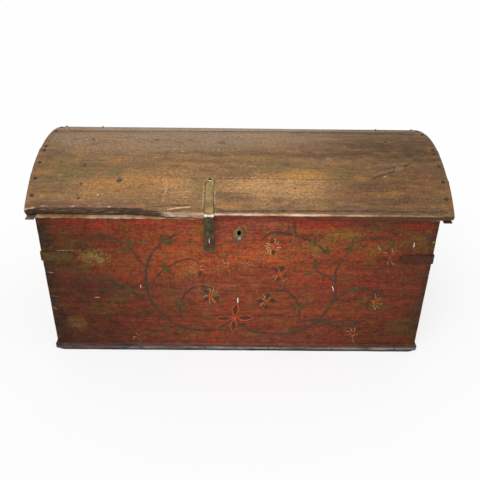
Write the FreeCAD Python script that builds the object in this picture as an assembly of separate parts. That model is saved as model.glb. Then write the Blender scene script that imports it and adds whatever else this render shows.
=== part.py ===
import FreeCAD, Part
import math
import os

# Painted trunk: a dovetailed plank chest with a domed plank lid, iron hasp, box lock and strap hinges.
# Millimetres. X runs along the chest, +Y goes to the back, +Z is up, the origin is under the middle.

# Box boards
box_length = 1076.5
box_depth = 560.0
rim_height = 450.0
wall = 24.0
floor_thickness = 20.0
front_seam_height = 226.0
end_seam_height = 212.0
box_shift = -3.25
floor_board_count = 3

# Dovetails at the four corners
dovetails_per_plank = 2
dovetail_tip_half = 10.0
dovetail_root_half = 16.0

# Base moulding on the front and the ends
moulding_height = 28.0
moulding_depth = 6.0
moulding_nail_inset = 60.0
moulding_nail_height = 11.0
moulding_front_nail_count = 6
moulding_end_nail_count = 4

# Domed lid
lid_front_overhang = 12.0
crown_rise = 128.0
lid_edge_height = 20.0
lid_plank = 34.0
lid_front_plank_width = 111.5
lid_seam_shares = (-0.266, 0.15, 0.58)
lid_end_gap = 5.25
lid_end_thickness = 22.0
lid_end_overhang = 1.5
lid_end_drop = 4.5
lid_ear_setback = 4.0
lid_ear_chamfer = 2.0
lid_nail_inset = 17.0
lid_nail_shares = ((0.45, 0.94), (0.44, 0.9), (0.07, 0.93), (0.36, 0.8), (0.4, 0.8))

# Lost splinter along the front edge of the lid, from its left end to the hasp
break_hasp_gap = 4.0
break_rim_reach = 19.0
break_climb = 15.0
break_depth = 26.0
break_outline_shares = (
    (0.0, 0.5), (0.02, 0.62), (0.06, 0.86), (0.13, 1.0), (0.22, 0.94), (0.31, 0.99), (0.42, 0.93),
    (0.53, 0.97), (0.63, 1.0), (0.69, 0.84), (0.76, 0.68), (0.84, 0.52), (0.92, 0.44), (1.0, 0.28),
)

# Wrought nails: one shank for all, a large and a small head
nail_shank_radius = 1.8
nail_head_radius = 5.0
nail_head_height = 1.8
nail_head_top_share = 0.55
nail_length = 22.0
lid_nail_length = 50.0
floor_nail_length = 48.0
pin_shank_radius = 1.0
pin_head_radius = 2.4
pin_head_height = 1.0
pin_length = 12.0

# Iron straps round the front corners
corner_strap_thickness = 3.0
corner_strap_width = 28.0
corner_strap_drop = 8.0
corner_strap_leg_length = 90.0
corner_strap_nail_places = (20.0, 66.0)
corner_strap_nail_length = 20.0

# Strap hinges at the back
hinge_inset = 142.0
hinge_strap_width = 40.0
hinge_strap_thickness = 3.0
hinge_back_seam_gap = 40.0
hinge_knuckle_radius = 6.0
hinge_pin_radius = 2.6
hinge_pin_head_radius = 4.2
hinge_pin_head_height = 1.5
hinge_tongue_width = 13.0
hinge_side_gap = 0.4
hinge_back_gap = 0.5
hinge_running_clearance = 0.05
hinge_front_share = -0.918
hinge_nail_shares = (-0.87, -0.725, -0.51, -0.1, 0.34, 0.8)
hinge_clinch_length = 5.0
hinge_back_nail_count = 4
hinge_back_nail_top = 30.0
hinge_back_nail_foot = 25.0

# Hasp on the lid and its staple in the front
hasp_offset = -80.0
hasp_thickness = 3.0
hasp_lid_width = 26.0
hasp_lid_length = 112.0
hasp_lid_nail_places = (104.0, 60.0, 18.0)
hasp_lid_outline_shares = (
    (0.0, 1.0), (0.3, 0.94), (0.46, 0.7), (0.6, 0.7), (0.74, 0.98), (0.86, 1.0), (0.95, 0.78), (1.0, 0.4),
)
hasp_top_width = 26.0
hasp_end_width = 30.0
hasp_length = 110.0
hasp_knuckle_radius = 4.5
hasp_knuckle_gap = 1.5
hasp_tongue_width = 9.0
hasp_side_gap = 0.4
hasp_shoulder_gap = 0.8
hasp_pin_radius = 1.9
hasp_running_clearance = 0.05
hasp_slot_width = 11.0
hasp_slot_top = 58.0
hasp_slot_length = 36.0
hasp_staple_bar = 2.2
hasp_staple_spread = 12.0
hasp_staple_bend = 5.0
hasp_staple_drop = 78.0
hasp_staple_gap = 0.6
hasp_staple_grip = 18.0

# Keyhole and escutcheon
keyhole_drop = 40.5
keyhole_radius = 6.0
keyhole_slit_width = 8.5
keyhole_slit_length = 21.5
escutcheon_half_width = 17.0
escutcheon_rise = 23.0
escutcheon_fall = 43.0
escutcheon_thickness = 1.8
escutcheon_pin_share = 0.75
escutcheon_top_shares = ((0.62, 0.42), (0.3, 0.62), (0.0, 1.0))
escutcheon_bottom_shares = ((0.92, 0.3), (0.55, 0.55), (0.22, 0.78), (0.0, 1.0))

# Box lock behind the front
lock_plate_width = 130.0
lock_plate_height = 78.0
lock_below_rim = 3.0
lock_sheet = 2.0
lock_case_width = 104.0
lock_case_inset = 6.0
lock_case_depth = 19.0
lock_nail_inset = 6.0
bolt_thickness = 6.0
bolt_height = 9.0
bolt_length = 58.0
bolt_tip = 19.0
bolt_drop = 18.0
bolt_standoff = 5.0
bolt_clearance = 0.1
bolt_guide_width = 7.0
bolt_guide_wall = 2.0
bolt_guide_spread = 30.0
bolt_guide_end = 2.0
spring_thickness = 0.8
spring_width = 5.0
spring_foot = 12.0
spring_reach = 28.0
spring_gap = 0.3
catch_offset = 27.0
catch_thickness = 6.0
catch_width = 11.0
catch_tip_below_bolt = 4.0
catch_eye_clearance = 1.5
catch_mouth_clearance = 3.0
catch_plate_width = 56.0
catch_plate_length = 36.0
catch_nail_spread = 18.0

# Bail handle and its two staples on each end
handle_height = 300.0
handle_bar = 4.5
handle_span = 104.0
handle_drop = 70.0
handle_bend = 18.0
handle_stub = 18.0
handle_knob_radius = 7.0
handle_knob_length = 5.0
handle_eye_clearance = 0.4
handle_eye_bar = 3.0
handle_eye_gap = 1.2
handle_eye_standoff = 0.6

# Open till inside the left end
till_width = 150.0
till_height = 96.0
till_below_rim = 22.0
till_board = 12.0
till_groove = 6.0

# One overrun for all cuts that pass right through
overrun = 10.0

os.makedirs("parts", exist_ok=True)

Vector = FreeCAD.Vector
along_x = Vector(1, 0, 0)
along_y = Vector(0, 1, 0)
along_z = Vector(0, 0, 1)

# Planes and places worked out from the sizes
end_face = box_length / 2
end_inside = end_face - wall
back_face = box_depth / 2
back_inside = back_face - wall
front_face = -back_face
front_inside = -back_inside
lid_front = front_face - lid_front_overhang
lid_end = end_face + lid_end_gap + lid_end_thickness + lid_end_overhang
hinge_offset = lid_end - hinge_inset
crown_height = rim_height + crown_rise

# The dome is one arc from the front arris over the crown to the rear arris
dome_half_depth = (back_face - lid_front) / 2
dome_rise = crown_rise - lid_edge_height
dome_radius = (dome_half_depth ** 2 + dome_rise ** 2) / (2 * dome_rise)
dome_inside = dome_radius - lid_plank
dome_y = (back_face + lid_front) / 2
dome_z = crown_height - dome_radius
dome_half_angle = math.degrees(math.asin(dome_half_depth / dome_radius))
dome_foot = math.sqrt(dome_inside ** 2 - (rim_height - dome_z) ** 2)

# Hinge axes
hinge_y = back_face + hinge_back_gap + hinge_knuckle_radius
hinge_z = rim_height + hinge_knuckle_radius
hinge_back_low = front_seam_height + hinge_back_seam_gap
hasp_mid_radius = dome_radius + hasp_thickness / 2
hasp_y = lid_front - hasp_knuckle_gap - hasp_knuckle_radius
hasp_z = dome_z + math.sqrt(hasp_mid_radius ** 2 - (hasp_y - dome_y) ** 2)
hasp_axis_angle = -math.degrees(math.asin((dome_y - hasp_y) / hasp_mid_radius))

# Keyhole and lock places
keyhole_z = rim_height - keyhole_drop
lock_top = rim_height - lock_below_rim
lock_floor = front_inside + lock_sheet
bolt_z = lock_top - bolt_drop
bolt_y = lock_floor + bolt_standoff


def block(x0, x1, y0, y1, z0, z1):
    """Box between two corners."""
    return Part.makeBox(x1 - x0, y1 - y0, z1 - z0, Vector(x0, y0, z0))


def prism(points, direction):
    """Flat polygon pushed along a direction."""
    return Part.Face(Part.makePolygon(points + points[:1])).extrude(direction)


def rod(start, end, radius):
    """Round bar between two points."""
    axis = end - start
    return Part.makeCylinder(radius, axis.Length, start, axis)


def bent_bar(points, radius, bend):
    """Round bar swept along a path with an arc at each inner corner."""
    edges = []
    start = points[0]
    for before, corner, after in zip(points, points[1:], points[2:]):
        back = (before - corner).normalize()
        ahead = (after - corner).normalize()
        entry = corner + back * bend
        leave = corner + ahead * bend
        middle = corner + (back + ahead) * (bend * (1 - math.sqrt(0.5)))
        edges.append(Part.makeLine(start, entry))
        edges.append(Part.Arc(entry, middle, leave).toShape())
        start = leave
    edges.append(Part.makeLine(start, points[-1]))
    section = Part.Wire(Part.makeCircle(radius, points[0], points[1] - points[0]))
    return Part.Wire(edges).makePipeShell([section], True, True)


def nail(seat, outward, length, shank=nail_shank_radius, head=nail_head_radius, rise=nail_head_height):
    """Nail with its head standing on the seat."""
    cap = Part.makeCone(head, head * nail_head_top_share, rise, seat, outward)
    return cap.fuse(rod(seat - outward * length, seat, shank))


def small_pin(seat, outward):
    """Small pin for thin plates."""
    return nail(seat, outward, pin_length, pin_shank_radius, pin_head_radius, pin_head_height)


def mirrored(shape):
    """Copy on the other end of the chest."""
    return shape.mirror(Vector(0, 0, 0), along_x)


def both_ends(shapes):
    """The shapes and their copies on the other end."""
    return shapes + [mirrored(shape) for shape in shapes]


def turned_back(shape):
    """Copy on the back of the box."""
    return shape.mirror(Vector(0, 0, 0), along_y)


def radial(angle):
    """Unit vector out of the dome at an angle from the crown, positive towards the back."""
    return Vector(0, math.sin(math.radians(angle)), math.cos(math.radians(angle)))


def dome_point(x, radius, angle):
    """Point at a radius and angle about the dome's axis."""
    return Vector(x, dome_y, dome_z) + radial(angle) * radius


def up_from_arris(distance):
    """Angle of a point that lies a distance up the dome from the front arris."""
    return math.degrees(distance / dome_radius) - dome_half_angle


def dome_sector(inner, outer, first, last, x0, x1):
    """Curved slab between two radii and two angles."""
    middle = (first + last) / 2
    inner_arc = Part.Arc(*[dome_point(x0, inner, angle) for angle in (first, middle, last)]).toShape()
    outer_arc = Part.Arc(*[dome_point(x0, outer, angle) for angle in (last, middle, first)]).toShape()
    rear = Part.makeLine(dome_point(x0, inner, last), dome_point(x0, outer, last))
    front = Part.makeLine(dome_point(x0, outer, first), dome_point(x0, inner, first))
    return Part.Face(Part.Wire([inner_arc, rear, outer_arc, front])).extrude(along_x * (x1 - x0))


def keyhole(y0, y1):
    """Round key bow hole with a slit below it."""
    bow = rod(Vector(0, y0, keyhole_z), Vector(0, y1, keyhole_z), keyhole_radius)
    half = keyhole_slit_width / 2
    return bow.fuse(block(-half, half, y0, y1, keyhole_z - keyhole_slit_length, keyhole_z))


def under_lid(shape):
    """Copy of a box piece where the box sits, a little to the left under the lid."""
    return shape.translated(along_x * box_shift)


def save(name, shape):
    """Write one piece."""
    shape.exportStep("parts/" + name + ".step")


def save_on_box(name, shape):
    """Write one piece that is placed by the ends of the box."""
    save(name, under_lid(shape))


# Box walls: tails on the front and back planks, pins on the end planks
dovetail_heights = []
for bottom, top in ((floor_thickness, front_seam_height), (front_seam_height, rim_height)):
    dovetail_pitch = (top - bottom) / dovetails_per_plank
    dovetail_heights += [bottom + dovetail_pitch * (step + 0.5) for step in range(dovetails_per_plank)]


def dovetail_pin(height):
    """Pin of the right end board where it passes through the front board."""
    corners = (
        (end_inside, -dovetail_root_half), (end_face, -dovetail_tip_half),
        (end_face, dovetail_tip_half), (end_inside, dovetail_root_half),
    )
    return prism([Vector(x, front_face, height + rise) for x, rise in corners], along_y * wall)


def long_plank(bottom, top):
    """Front plank with the sockets for the pins."""
    pins = both_ends([dovetail_pin(height) for height in dovetail_heights])
    return block(-end_face, end_face, front_face, front_inside, bottom, top).cut(pins)


def end_plank(bottom, top):
    """Right end plank with its pins to the front and the back."""
    pins = [dovetail_pin(height) for height in dovetail_heights if bottom < height < top]
    pins += [turned_back(pin) for pin in pins]
    return block(end_inside, end_face, front_inside, back_inside, bottom, top).fuse(pins).removeSplitter()


till_top = rim_height - till_below_rim
till_floor = till_top - till_height
till_reach = back_inside + till_groove
till_side_outer = till_width - end_inside
till_side_inner = till_side_outer - till_board
till_low = till_floor - till_board
till_bottom = block(-end_inside, till_side_outer, -till_reach, till_reach, till_low, till_floor)
till_side = block(till_side_inner, till_side_outer, -till_reach, till_reach, till_floor, till_top)

front_upper = long_plank(front_seam_height, rim_height).cut([till_bottom, till_side])
save("front_upper_board", under_lid(front_upper).cut(keyhole(front_face - overrun, front_inside + overrun)))
save_on_box("front_lower_board", long_plank(floor_thickness, front_seam_height))
back_upper = turned_back(long_plank(front_seam_height, rim_height)).cut([till_bottom, till_side])
save_on_box("back_upper_board", back_upper)
save_on_box("back_lower_board", turned_back(long_plank(floor_thickness, front_seam_height)))
save_on_box("right_end_upper_board", end_plank(end_seam_height, rim_height))
save_on_box("right_end_lower_board", end_plank(floor_thickness, end_seam_height))
save_on_box("left_end_upper_board", mirrored(end_plank(end_seam_height, rim_height)))
save_on_box("left_end_lower_board", mirrored(end_plank(floor_thickness, end_seam_height)))
save_on_box("till_bottom", till_bottom)
save_on_box("till_side", till_side)

# Bottom boards, nailed up into the walls
floor_board_width = box_depth / floor_board_count
floor_nails = []
for number, place in enumerate(("front", "middle", "rear")):
    near = front_face + number * floor_board_width
    far = near + floor_board_width
    save_on_box("bottom_" + place + "_board", block(-end_face, end_face, near, far, 0, floor_thickness))
    for row in (near + floor_board_width / 4, far - floor_board_width / 4):
        foot = Vector(end_face - wall / 2, row, 0)
        floor_nails.append(rod(foot, foot + along_z * floor_nail_length, nail_shank_radius))
for step in range(moulding_front_nail_count):
    place = end_inside * (2 * step + 1) / moulding_front_nail_count - end_inside
    foot = Vector(place, front_face + wall / 2, 0)
    front_nail = rod(foot, foot + along_z * floor_nail_length, nail_shank_radius)
    floor_nails += [front_nail, turned_back(front_nail)]
end_nails = [shape for shape in floor_nails if shape.BoundBox.XMin > end_inside]
floor_nails += [mirrored(shape) for shape in end_nails]
save_on_box("bottom_nails", Part.makeCompound(floor_nails))


# Base moulding with a rounded top and mitred front corners
def moulding(start, along, inward, run):
    """Straight moulding: its profile stands at the start, outside face first."""
    outer = start - inward * moulding_depth
    shoulder = outer + along_z * (moulding_height - moulding_depth)
    hollow = start + along_z * (moulding_height - moulding_depth)
    quarter = hollow + (along_z - inward) * (moulding_depth * math.sqrt(0.5))
    top = start + along_z * moulding_height
    edges = [
        Part.makeLine(start, outer),
        Part.makeLine(outer, shoulder),
        Part.Arc(shoulder, quarter, top).toShape(),
        Part.makeLine(top, start),
    ]
    return Part.Face(Part.Wire(edges)).extrude(along * run)


corner = Vector(end_face, front_face, 0)
outer_corner = corner + Vector(moulding_depth, -moulding_depth, 0)
front_waste = prism([corner, outer_corner, corner + along_x * moulding_depth], along_z * moulding_height)
end_waste = prism([corner, outer_corner, corner - along_y * moulding_depth], along_z * moulding_height)
front_run = box_length + 2 * moulding_depth
front_moulding = moulding(Vector(-front_run / 2, front_face, 0), along_x, along_y, front_run)
end_run = box_depth + moulding_depth
end_moulding = moulding(outer_corner - along_x * moulding_depth, along_y, -along_x, end_run)
save_on_box("base_moulding_front", front_moulding.cut(both_ends([front_waste])))
save_on_box("base_moulding_right", end_moulding.cut(end_waste))
save_on_box("base_moulding_left", mirrored(end_moulding.cut(end_waste)))

moulding_nails = []
front_span = box_length - 2 * moulding_nail_inset
for step in range(moulding_front_nail_count):
    place = front_span * step / (moulding_front_nail_count - 1) - front_span / 2
    seat = Vector(place, front_face - moulding_depth, moulding_nail_height)
    moulding_nails.append(nail(seat, -along_y, nail_length, head=pin_head_radius, rise=pin_head_height))
end_span = box_depth - 2 * moulding_nail_inset
for step in range(moulding_end_nail_count):
    place = end_span * step / (moulding_end_nail_count - 1) - end_span / 2
    seat = Vector(end_face + moulding_depth, place, moulding_nail_height)
    end_nail = nail(seat, along_x, nail_length, head=pin_head_radius, rise=pin_head_height)
    moulding_nails += both_ends([end_nail])
save_on_box("base_moulding_nails", Part.makeCompound(moulding_nails))


# Iron straps round the front corners
def strap_leg(start, along, outward):
    """One leg of a corner strap with a round end."""
    half = corner_strap_width / 2
    centre = start + along * (corner_strap_leg_length - half)
    sides = [start - along_z * half, centre - along_z * half, centre + along_z * half, start + along_z * half]
    tip = Part.makeCylinder(half, corner_strap_thickness, centre, outward)
    return prism(sides, outward * corner_strap_thickness).fuse(tip)


strap_z = (front_seam_height + rim_height) / 2 - corner_strap_drop
strap_corner = Vector(end_face, front_face, strap_z)
strap_edge = block(
    end_face, end_face + corner_strap_thickness, front_face - corner_strap_thickness, front_face,
    strap_z - corner_strap_width / 2, strap_z + corner_strap_width / 2,
)
strap_legs = [strap_leg(strap_corner, -along_x, -along_y), strap_leg(strap_corner, along_y, along_x)]
corner_strap = strap_edge.fuse(strap_legs).removeSplitter()
save_on_box("corner_strap_right", corner_strap)
save_on_box("corner_strap_left", mirrored(corner_strap))
strap_nails = []
for place in corner_strap_nail_places:
    front_seat = strap_corner - along_x * place - along_y * corner_strap_thickness
    end_seat = strap_corner + along_y * place + along_x * corner_strap_thickness
    strap_nails.append(nail(front_seat, -along_y, corner_strap_nail_length))
    strap_nails.append(nail(end_seat, along_x, corner_strap_nail_length))
save_on_box("corner_strap_nails", Part.makeCompound(both_ends(strap_nails)))

# Keyhole escutcheon: a shield with a point above and below
outline = [(1.0, 0.0)] + list(escutcheon_top_shares)
outline += [(-width, rise) for width, rise in reversed(outline[:-1])]
lower = [(width, -fall) for width, fall in escutcheon_bottom_shares]
lower += [(-width, fall) for width, fall in reversed(lower[:-1])]
outline += list(reversed(lower))


def escutcheon_point(width, rise, proud):
    """Point of the shield, with the rise above the keyhole as a share of its upper or lower part."""
    reach = escutcheon_rise if rise > 0 else escutcheon_fall
    return Vector(width * escutcheon_half_width, front_face - proud, keyhole_z + rise * reach)


shield = prism([escutcheon_point(width, rise, 0) for width, rise in outline], -along_y * escutcheon_thickness)
save("keyhole_escutcheon", shield.cut(keyhole(front_face - overrun, front_face + overrun)))
pin_places = ((0, escutcheon_pin_share), (0, -escutcheon_pin_share))
pin_places += ((escutcheon_pin_share, 0), (-escutcheon_pin_share, 0))
pin_seats = [escutcheon_point(width, rise, escutcheon_thickness) for width, rise in pin_places]
save("escutcheon_pins", Part.makeCompound([small_pin(seat, -along_y) for seat in pin_seats]))

# Box lock: plate, cover, bolt in two guides, leaf spring
plate_half = lock_plate_width / 2
lock_bottom = lock_top - lock_plate_height
lock_plate = block(-plate_half, plate_half, front_inside, lock_floor, lock_bottom, lock_top)
save("lock_plate", lock_plate.cut(keyhole(front_inside - overrun, lock_floor + overrun)))
lock_nails = []
for height in (lock_bottom + lock_nail_inset, lock_top - lock_nail_inset):
    seat = Vector(plate_half - lock_nail_inset, lock_floor, height)
    lock_nails += both_ends([nail(seat, along_y, nail_length)])
save("lock_nails", Part.makeCompound(lock_nails))

case_half = lock_case_width / 2
case_bottom = lock_bottom + lock_case_inset
case_back = lock_floor + lock_case_depth
case = block(-case_half, case_half, lock_floor, case_back, case_bottom, lock_top)
hollow_half = case_half - lock_sheet
hollow_top = lock_top - lock_sheet
hollow_back = case_back - lock_sheet
hollow = block(-hollow_half, hollow_half, lock_floor, hollow_back, case_bottom + lock_sheet, hollow_top)
mouth_half = catch_thickness / 2 + catch_mouth_clearance
mouth = block(
    catch_offset - mouth_half, catch_offset + mouth_half,
    lock_floor, hollow_back, hollow_top, lock_top,
)
save("lock_cover", case.cut([hollow, mouth]))


def bolt_bar(x0, x1, grow):
    """Bar along the bolt's line, grown on its four long sides."""
    return block(
        x0, x1, bolt_y - grow, bolt_y + bolt_thickness + grow,
        bolt_z - bolt_height / 2 - grow, bolt_z + bolt_height / 2 + grow,
    )


save("lock_bolt", bolt_bar(bolt_tip - bolt_length, bolt_tip, 0))
guides = []
for guide_end in (bolt_tip - bolt_guide_end, bolt_tip - bolt_guide_end - bolt_guide_spread):
    guide_start = guide_end - bolt_guide_width
    loop = bolt_bar(guide_start, guide_end, bolt_clearance + bolt_guide_wall)
    foot = block(
        guide_start, guide_end, lock_floor, bolt_y,
        bolt_z - bolt_height / 2 - bolt_clearance - bolt_guide_wall,
        bolt_z + bolt_height / 2 + bolt_clearance + bolt_guide_wall,
    )
    guides.append(loop.fuse(foot).cut(bolt_bar(guide_start, guide_end, bolt_clearance)).removeSplitter())
save("lock_bolt_guides", Part.makeCompound(guides))

spring_y = bolt_y + (bolt_thickness - spring_width) / 2
spring_start = -hollow_half
spring_bend = spring_start + spring_foot
spring_low = bolt_z + bolt_height / 2 + spring_gap
spring_outline = (
    (spring_start, hollow_top), (spring_start, hollow_top - spring_thickness),
    (spring_bend, hollow_top - spring_thickness), (spring_start + spring_reach, spring_low),
    (spring_start + spring_reach, spring_low + spring_thickness), (spring_bend, hollow_top),
)
spring = prism([Vector(x, spring_y, z) for x, z in spring_outline], along_y * spring_width)
save("lock_spring", spring)

# Staple for the hasp, clear of the hanging leaf by a small gap
staple_z = hasp_z - hasp_staple_drop
staple_nose = hasp_y + hasp_thickness / 2 + hasp_staple_gap + hasp_staple_bar
staple_root = front_face + hasp_staple_grip
staple_path = [
    Vector(hasp_offset, staple_root, staple_z + hasp_staple_spread / 2),
    Vector(hasp_offset, staple_nose, staple_z + hasp_staple_spread / 2),
    Vector(hasp_offset, staple_nose, staple_z - hasp_staple_spread / 2),
    Vector(hasp_offset, staple_root, staple_z - hasp_staple_spread / 2),
]
save("hasp_staple", bent_bar(staple_path, hasp_staple_bar, hasp_staple_bend))


# Bail handles: a bent bar whose turned-out ends ride in two eye staples
def handle_place(outward, across, height):
    """Point on the right end by its distance out of the end board."""
    return Vector(end_face + outward, across, handle_height + height)


eye_radius = handle_bar + handle_eye_clearance + handle_eye_bar
eye_reach = eye_radius + handle_eye_bar + handle_eye_standoff
eye_across = handle_span / 2 + handle_bar + handle_eye_gap + handle_eye_bar
eyes = []
for side in (-1, 1):
    centre = handle_place(eye_reach, side * eye_across, 0)
    ring = Part.makeTorus(eye_radius, handle_eye_bar, centre, along_y)
    shank = rod(handle_place(-wall, side * eye_across, 0), centre - along_x * eye_radius, handle_eye_bar)
    eyes.append(ring.fuse(shank))
save_on_box("handle_staples_right", Part.makeCompound(eyes))
save_on_box("handle_staples_left", Part.makeCompound([mirrored(eye) for eye in eyes]))

stub_end = handle_span / 2 + handle_stub
bail_path = [
    handle_place(eye_reach, -handle_span / 2, 0), handle_place(eye_reach, -handle_span / 2, -handle_drop),
    handle_place(eye_reach, handle_span / 2, -handle_drop), handle_place(eye_reach, handle_span / 2, 0),
]
bail_pieces = []
for side in (-1, 1):
    elbow = handle_place(eye_reach, side * handle_span / 2, 0)
    stub_tip = handle_place(eye_reach, side * stub_end, 0)
    knob_tip = handle_place(eye_reach, side * (stub_end + handle_knob_length), 0)
    bail_pieces.append(Part.makeSphere(handle_bar, elbow))
    bail_pieces.append(rod(elbow, stub_tip, handle_bar))
    bail_pieces.append(rod(stub_tip, knob_tip, handle_knob_radius))
bail = bent_bar(bail_path, handle_bar, handle_bend).fuse(bail_pieces)
save_on_box("handle_bail_right", bail)
save_on_box("handle_bail_left", mirrored(bail))

# Lid planks, trimmed to the vertical edges and the rim plane
lid_space = block(-lid_end, lid_end, lid_front, back_face, rim_height, crown_height + overrun)
lid_seam_angles = (up_from_arris(lid_front_plank_width),)
lid_seam_angles += tuple(share * dome_half_angle for share in lid_seam_shares)
lid_angles = (-90.0,) + lid_seam_angles + (90.0,)
lid_places = ("front", "front_upper", "crown", "rear_upper", "rear")
lid_planks = {}
for place, first, last in zip(lid_places, lid_angles, lid_angles[1:]):
    plank = dome_sector(dome_inside, dome_radius, first, last, -lid_end, lid_end)
    lid_planks[place] = plank.common(lid_space)

# The lost splinter: its face leans from the rim up to the plank's outer face
break_start = -lid_end - overrun
break_run = hasp_offset - hasp_lid_width / 2 - break_hasp_gap - break_start
break_foot = Vector(break_start, front_face + break_rim_reach, rim_height)
break_top = dome_point(break_start, dome_radius, up_from_arris(break_climb))
break_rise = (break_top - break_foot).Length
break_lean = (break_top - break_foot).normalize()
break_outward = along_x.cross(break_lean)


def break_point(along_share, outward):
    """Point of the break line, in front of its deepest line, below the rim."""
    return break_foot + along_x * (break_run * along_share) + break_outward * outward - break_lean * overrun


break_line = [break_point(along, break_depth * (1 - depth)) for along, depth in break_outline_shares]
break_line += [break_point(along, break_depth + overrun) for along in (1, 0)]
lost_splinter = prism(break_line, break_lean * (break_rise + 2 * overrun))
lid_planks["front"] = lid_planks["front"].cut(lost_splinter)

# Strap hinges
tongue_half = hinge_tongue_width / 2
strap_half = hinge_strap_width / 2
hinge_root = dome_y + dome_foot - hinge_strap_thickness


def hinge_rod(x0, x1, radius):
    """Round bar on the left hinge's axis."""
    start = Vector(x0 - hinge_offset, hinge_y, hinge_z)
    return rod(start, start + along_x * (x1 - x0), radius)


tongue = block(
    -hinge_offset - tongue_half, -hinge_offset + tongue_half,
    hinge_root, hinge_y, rim_height, rim_height + hinge_strap_thickness,
)
strap_inside = dome_inside - hinge_strap_thickness
lid_strap_arc = dome_sector(
    strap_inside, dome_inside, hinge_front_share * dome_half_angle, dome_half_angle,
    -hinge_offset - strap_half, -hinge_offset + strap_half,
)
lid_knuckle = hinge_rod(-tongue_half, tongue_half, hinge_knuckle_radius)
lid_strap = lid_strap_arc.common(lid_space).fuse([tongue, lid_knuckle])
lid_bore = hinge_rod(-strap_half, strap_half, hinge_pin_radius + hinge_running_clearance)
lid_strap = lid_strap.cut(lid_bore)

back_plate = block(
    -hinge_offset - strap_half, -hinge_offset + strap_half,
    back_face, back_face + hinge_strap_thickness, hinge_back_low, hinge_z,
)
fork_half = tongue_half + hinge_side_gap
fork = block(
    -hinge_offset - fork_half, -hinge_offset + fork_half,
    back_face - overrun, hinge_y + overrun,
    hinge_z - hinge_knuckle_radius - hinge_side_gap, hinge_z + overrun,
)
back_strap = back_plate.fuse(hinge_rod(-strap_half, strap_half, hinge_knuckle_radius)).cut(fork)
back_strap = back_strap.cut(hinge_rod(-strap_half, strap_half, hinge_pin_radius))

hinge_pin = hinge_rod(-strap_half, strap_half, hinge_pin_radius)
hinge_heads = [
    hinge_rod(-strap_half - hinge_pin_head_height, -strap_half, hinge_pin_head_radius),
    hinge_rod(strap_half, strap_half + hinge_pin_head_height, hinge_pin_head_radius),
]
hinge_pin = hinge_pin.fuse(hinge_heads)

back_nail_low = hinge_back_low + hinge_back_nail_foot
back_nail_step = (hinge_z - hinge_back_nail_top - back_nail_low) / (hinge_back_nail_count - 1)
back_nails = []
for number in range(hinge_back_nail_count):
    seat = Vector(-hinge_offset, back_face + hinge_strap_thickness, back_nail_low + number * back_nail_step)
    back_nails.append(nail(seat, along_y, nail_length))
save("hinge_back_nails", Part.makeCompound(both_ends(back_nails)))
for side, placed in (("left", lambda shape: shape), ("right", mirrored)):
    save("hinge_lid_strap_" + side, placed(lid_strap))
    save("hinge_back_strap_" + side, placed(back_strap))
    save("hinge_pin_" + side, placed(hinge_pin))
lid_planks["rear"] = lid_planks["rear"].cut(both_ends([tongue]))
for place, plank in lid_planks.items():
    save("lid_" + place + "_plank", plank)

# Lid end boards, outside the box ends and hanging below the rim, with an ear under the front plank
lid_end_inner = end_face + lid_end_gap
lid_end_outer = lid_end_inner + lid_end_thickness
end_board_low = rim_height - lid_end_drop
end_board = Part.makeCylinder(dome_inside, lid_end_thickness, Vector(lid_end_inner, dome_y, dome_z), along_x)
end_space = block(
    lid_end_inner, lid_end_outer, dome_y - dome_foot, dome_y + dome_foot, end_board_low, crown_height,
)
ear_front = lid_front + lid_ear_setback
ear = block(lid_end_inner, lid_end_outer, ear_front, dome_y, end_board_low, rim_height)
low_corner = Vector(lid_end_inner, ear_front, end_board_low)
corner_waste = prism(
    [low_corner, low_corner + along_y * lid_ear_chamfer, low_corner + along_z * lid_ear_chamfer],
    along_x * lid_end_thickness,
)
end_board = end_board.common(end_space).fuse(ear).cut(corner_waste).removeSplitter()
save("lid_end_right", end_board)
save("lid_end_left", mirrored(end_board))

# Nails through the planks into the end boards
lid_nail_x = lid_end - lid_nail_inset
plank_edges = (-dome_half_angle,) + lid_seam_angles + (dome_half_angle,)
lid_nails = []
for first, last, nail_shares in zip(plank_edges, plank_edges[1:], lid_nail_shares):
    for share in nail_shares:
        angle = first + (last - first) * share
        lid_nails.append(nail(dome_point(lid_nail_x, dome_radius, angle), radial(angle), lid_nail_length))
save("lid_nails", Part.makeCompound(both_ends(lid_nails)))

# Lock catch: a curved plate under the front planks with an eye that drops into the lock
catch_y = bolt_y + bolt_thickness / 2
catch_half = catch_thickness / 2
catch_tip = bolt_z - bolt_height / 2 - catch_eye_clearance - catch_tip_below_bolt
catch_tongue = block(
    catch_offset - catch_half, catch_offset + catch_half,
    catch_y - catch_width / 2, catch_y + catch_width / 2, catch_tip, crown_height,
)
catch_angle = -math.degrees(math.asin((dome_y - catch_y) / dome_inside))
catch_front = catch_angle - math.degrees(catch_width / 2 / dome_inside)
catch_back = catch_front + math.degrees(catch_plate_length / dome_inside)
catch_plate = dome_sector(
    dome_inside - lock_sheet, dome_inside, catch_front, catch_back,
    catch_offset - catch_plate_width / 2, catch_offset + catch_plate_width / 2,
)
dome_hollow = Part.makeCylinder(dome_inside, 2 * lid_end, Vector(-lid_end, dome_y, dome_z), along_x)
catch_eye = bolt_bar(catch_offset - catch_thickness, catch_offset + catch_thickness, catch_eye_clearance)
save("lock_catch", catch_tongue.common(dome_hollow).cut(catch_eye).fuse(catch_plate))

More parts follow.
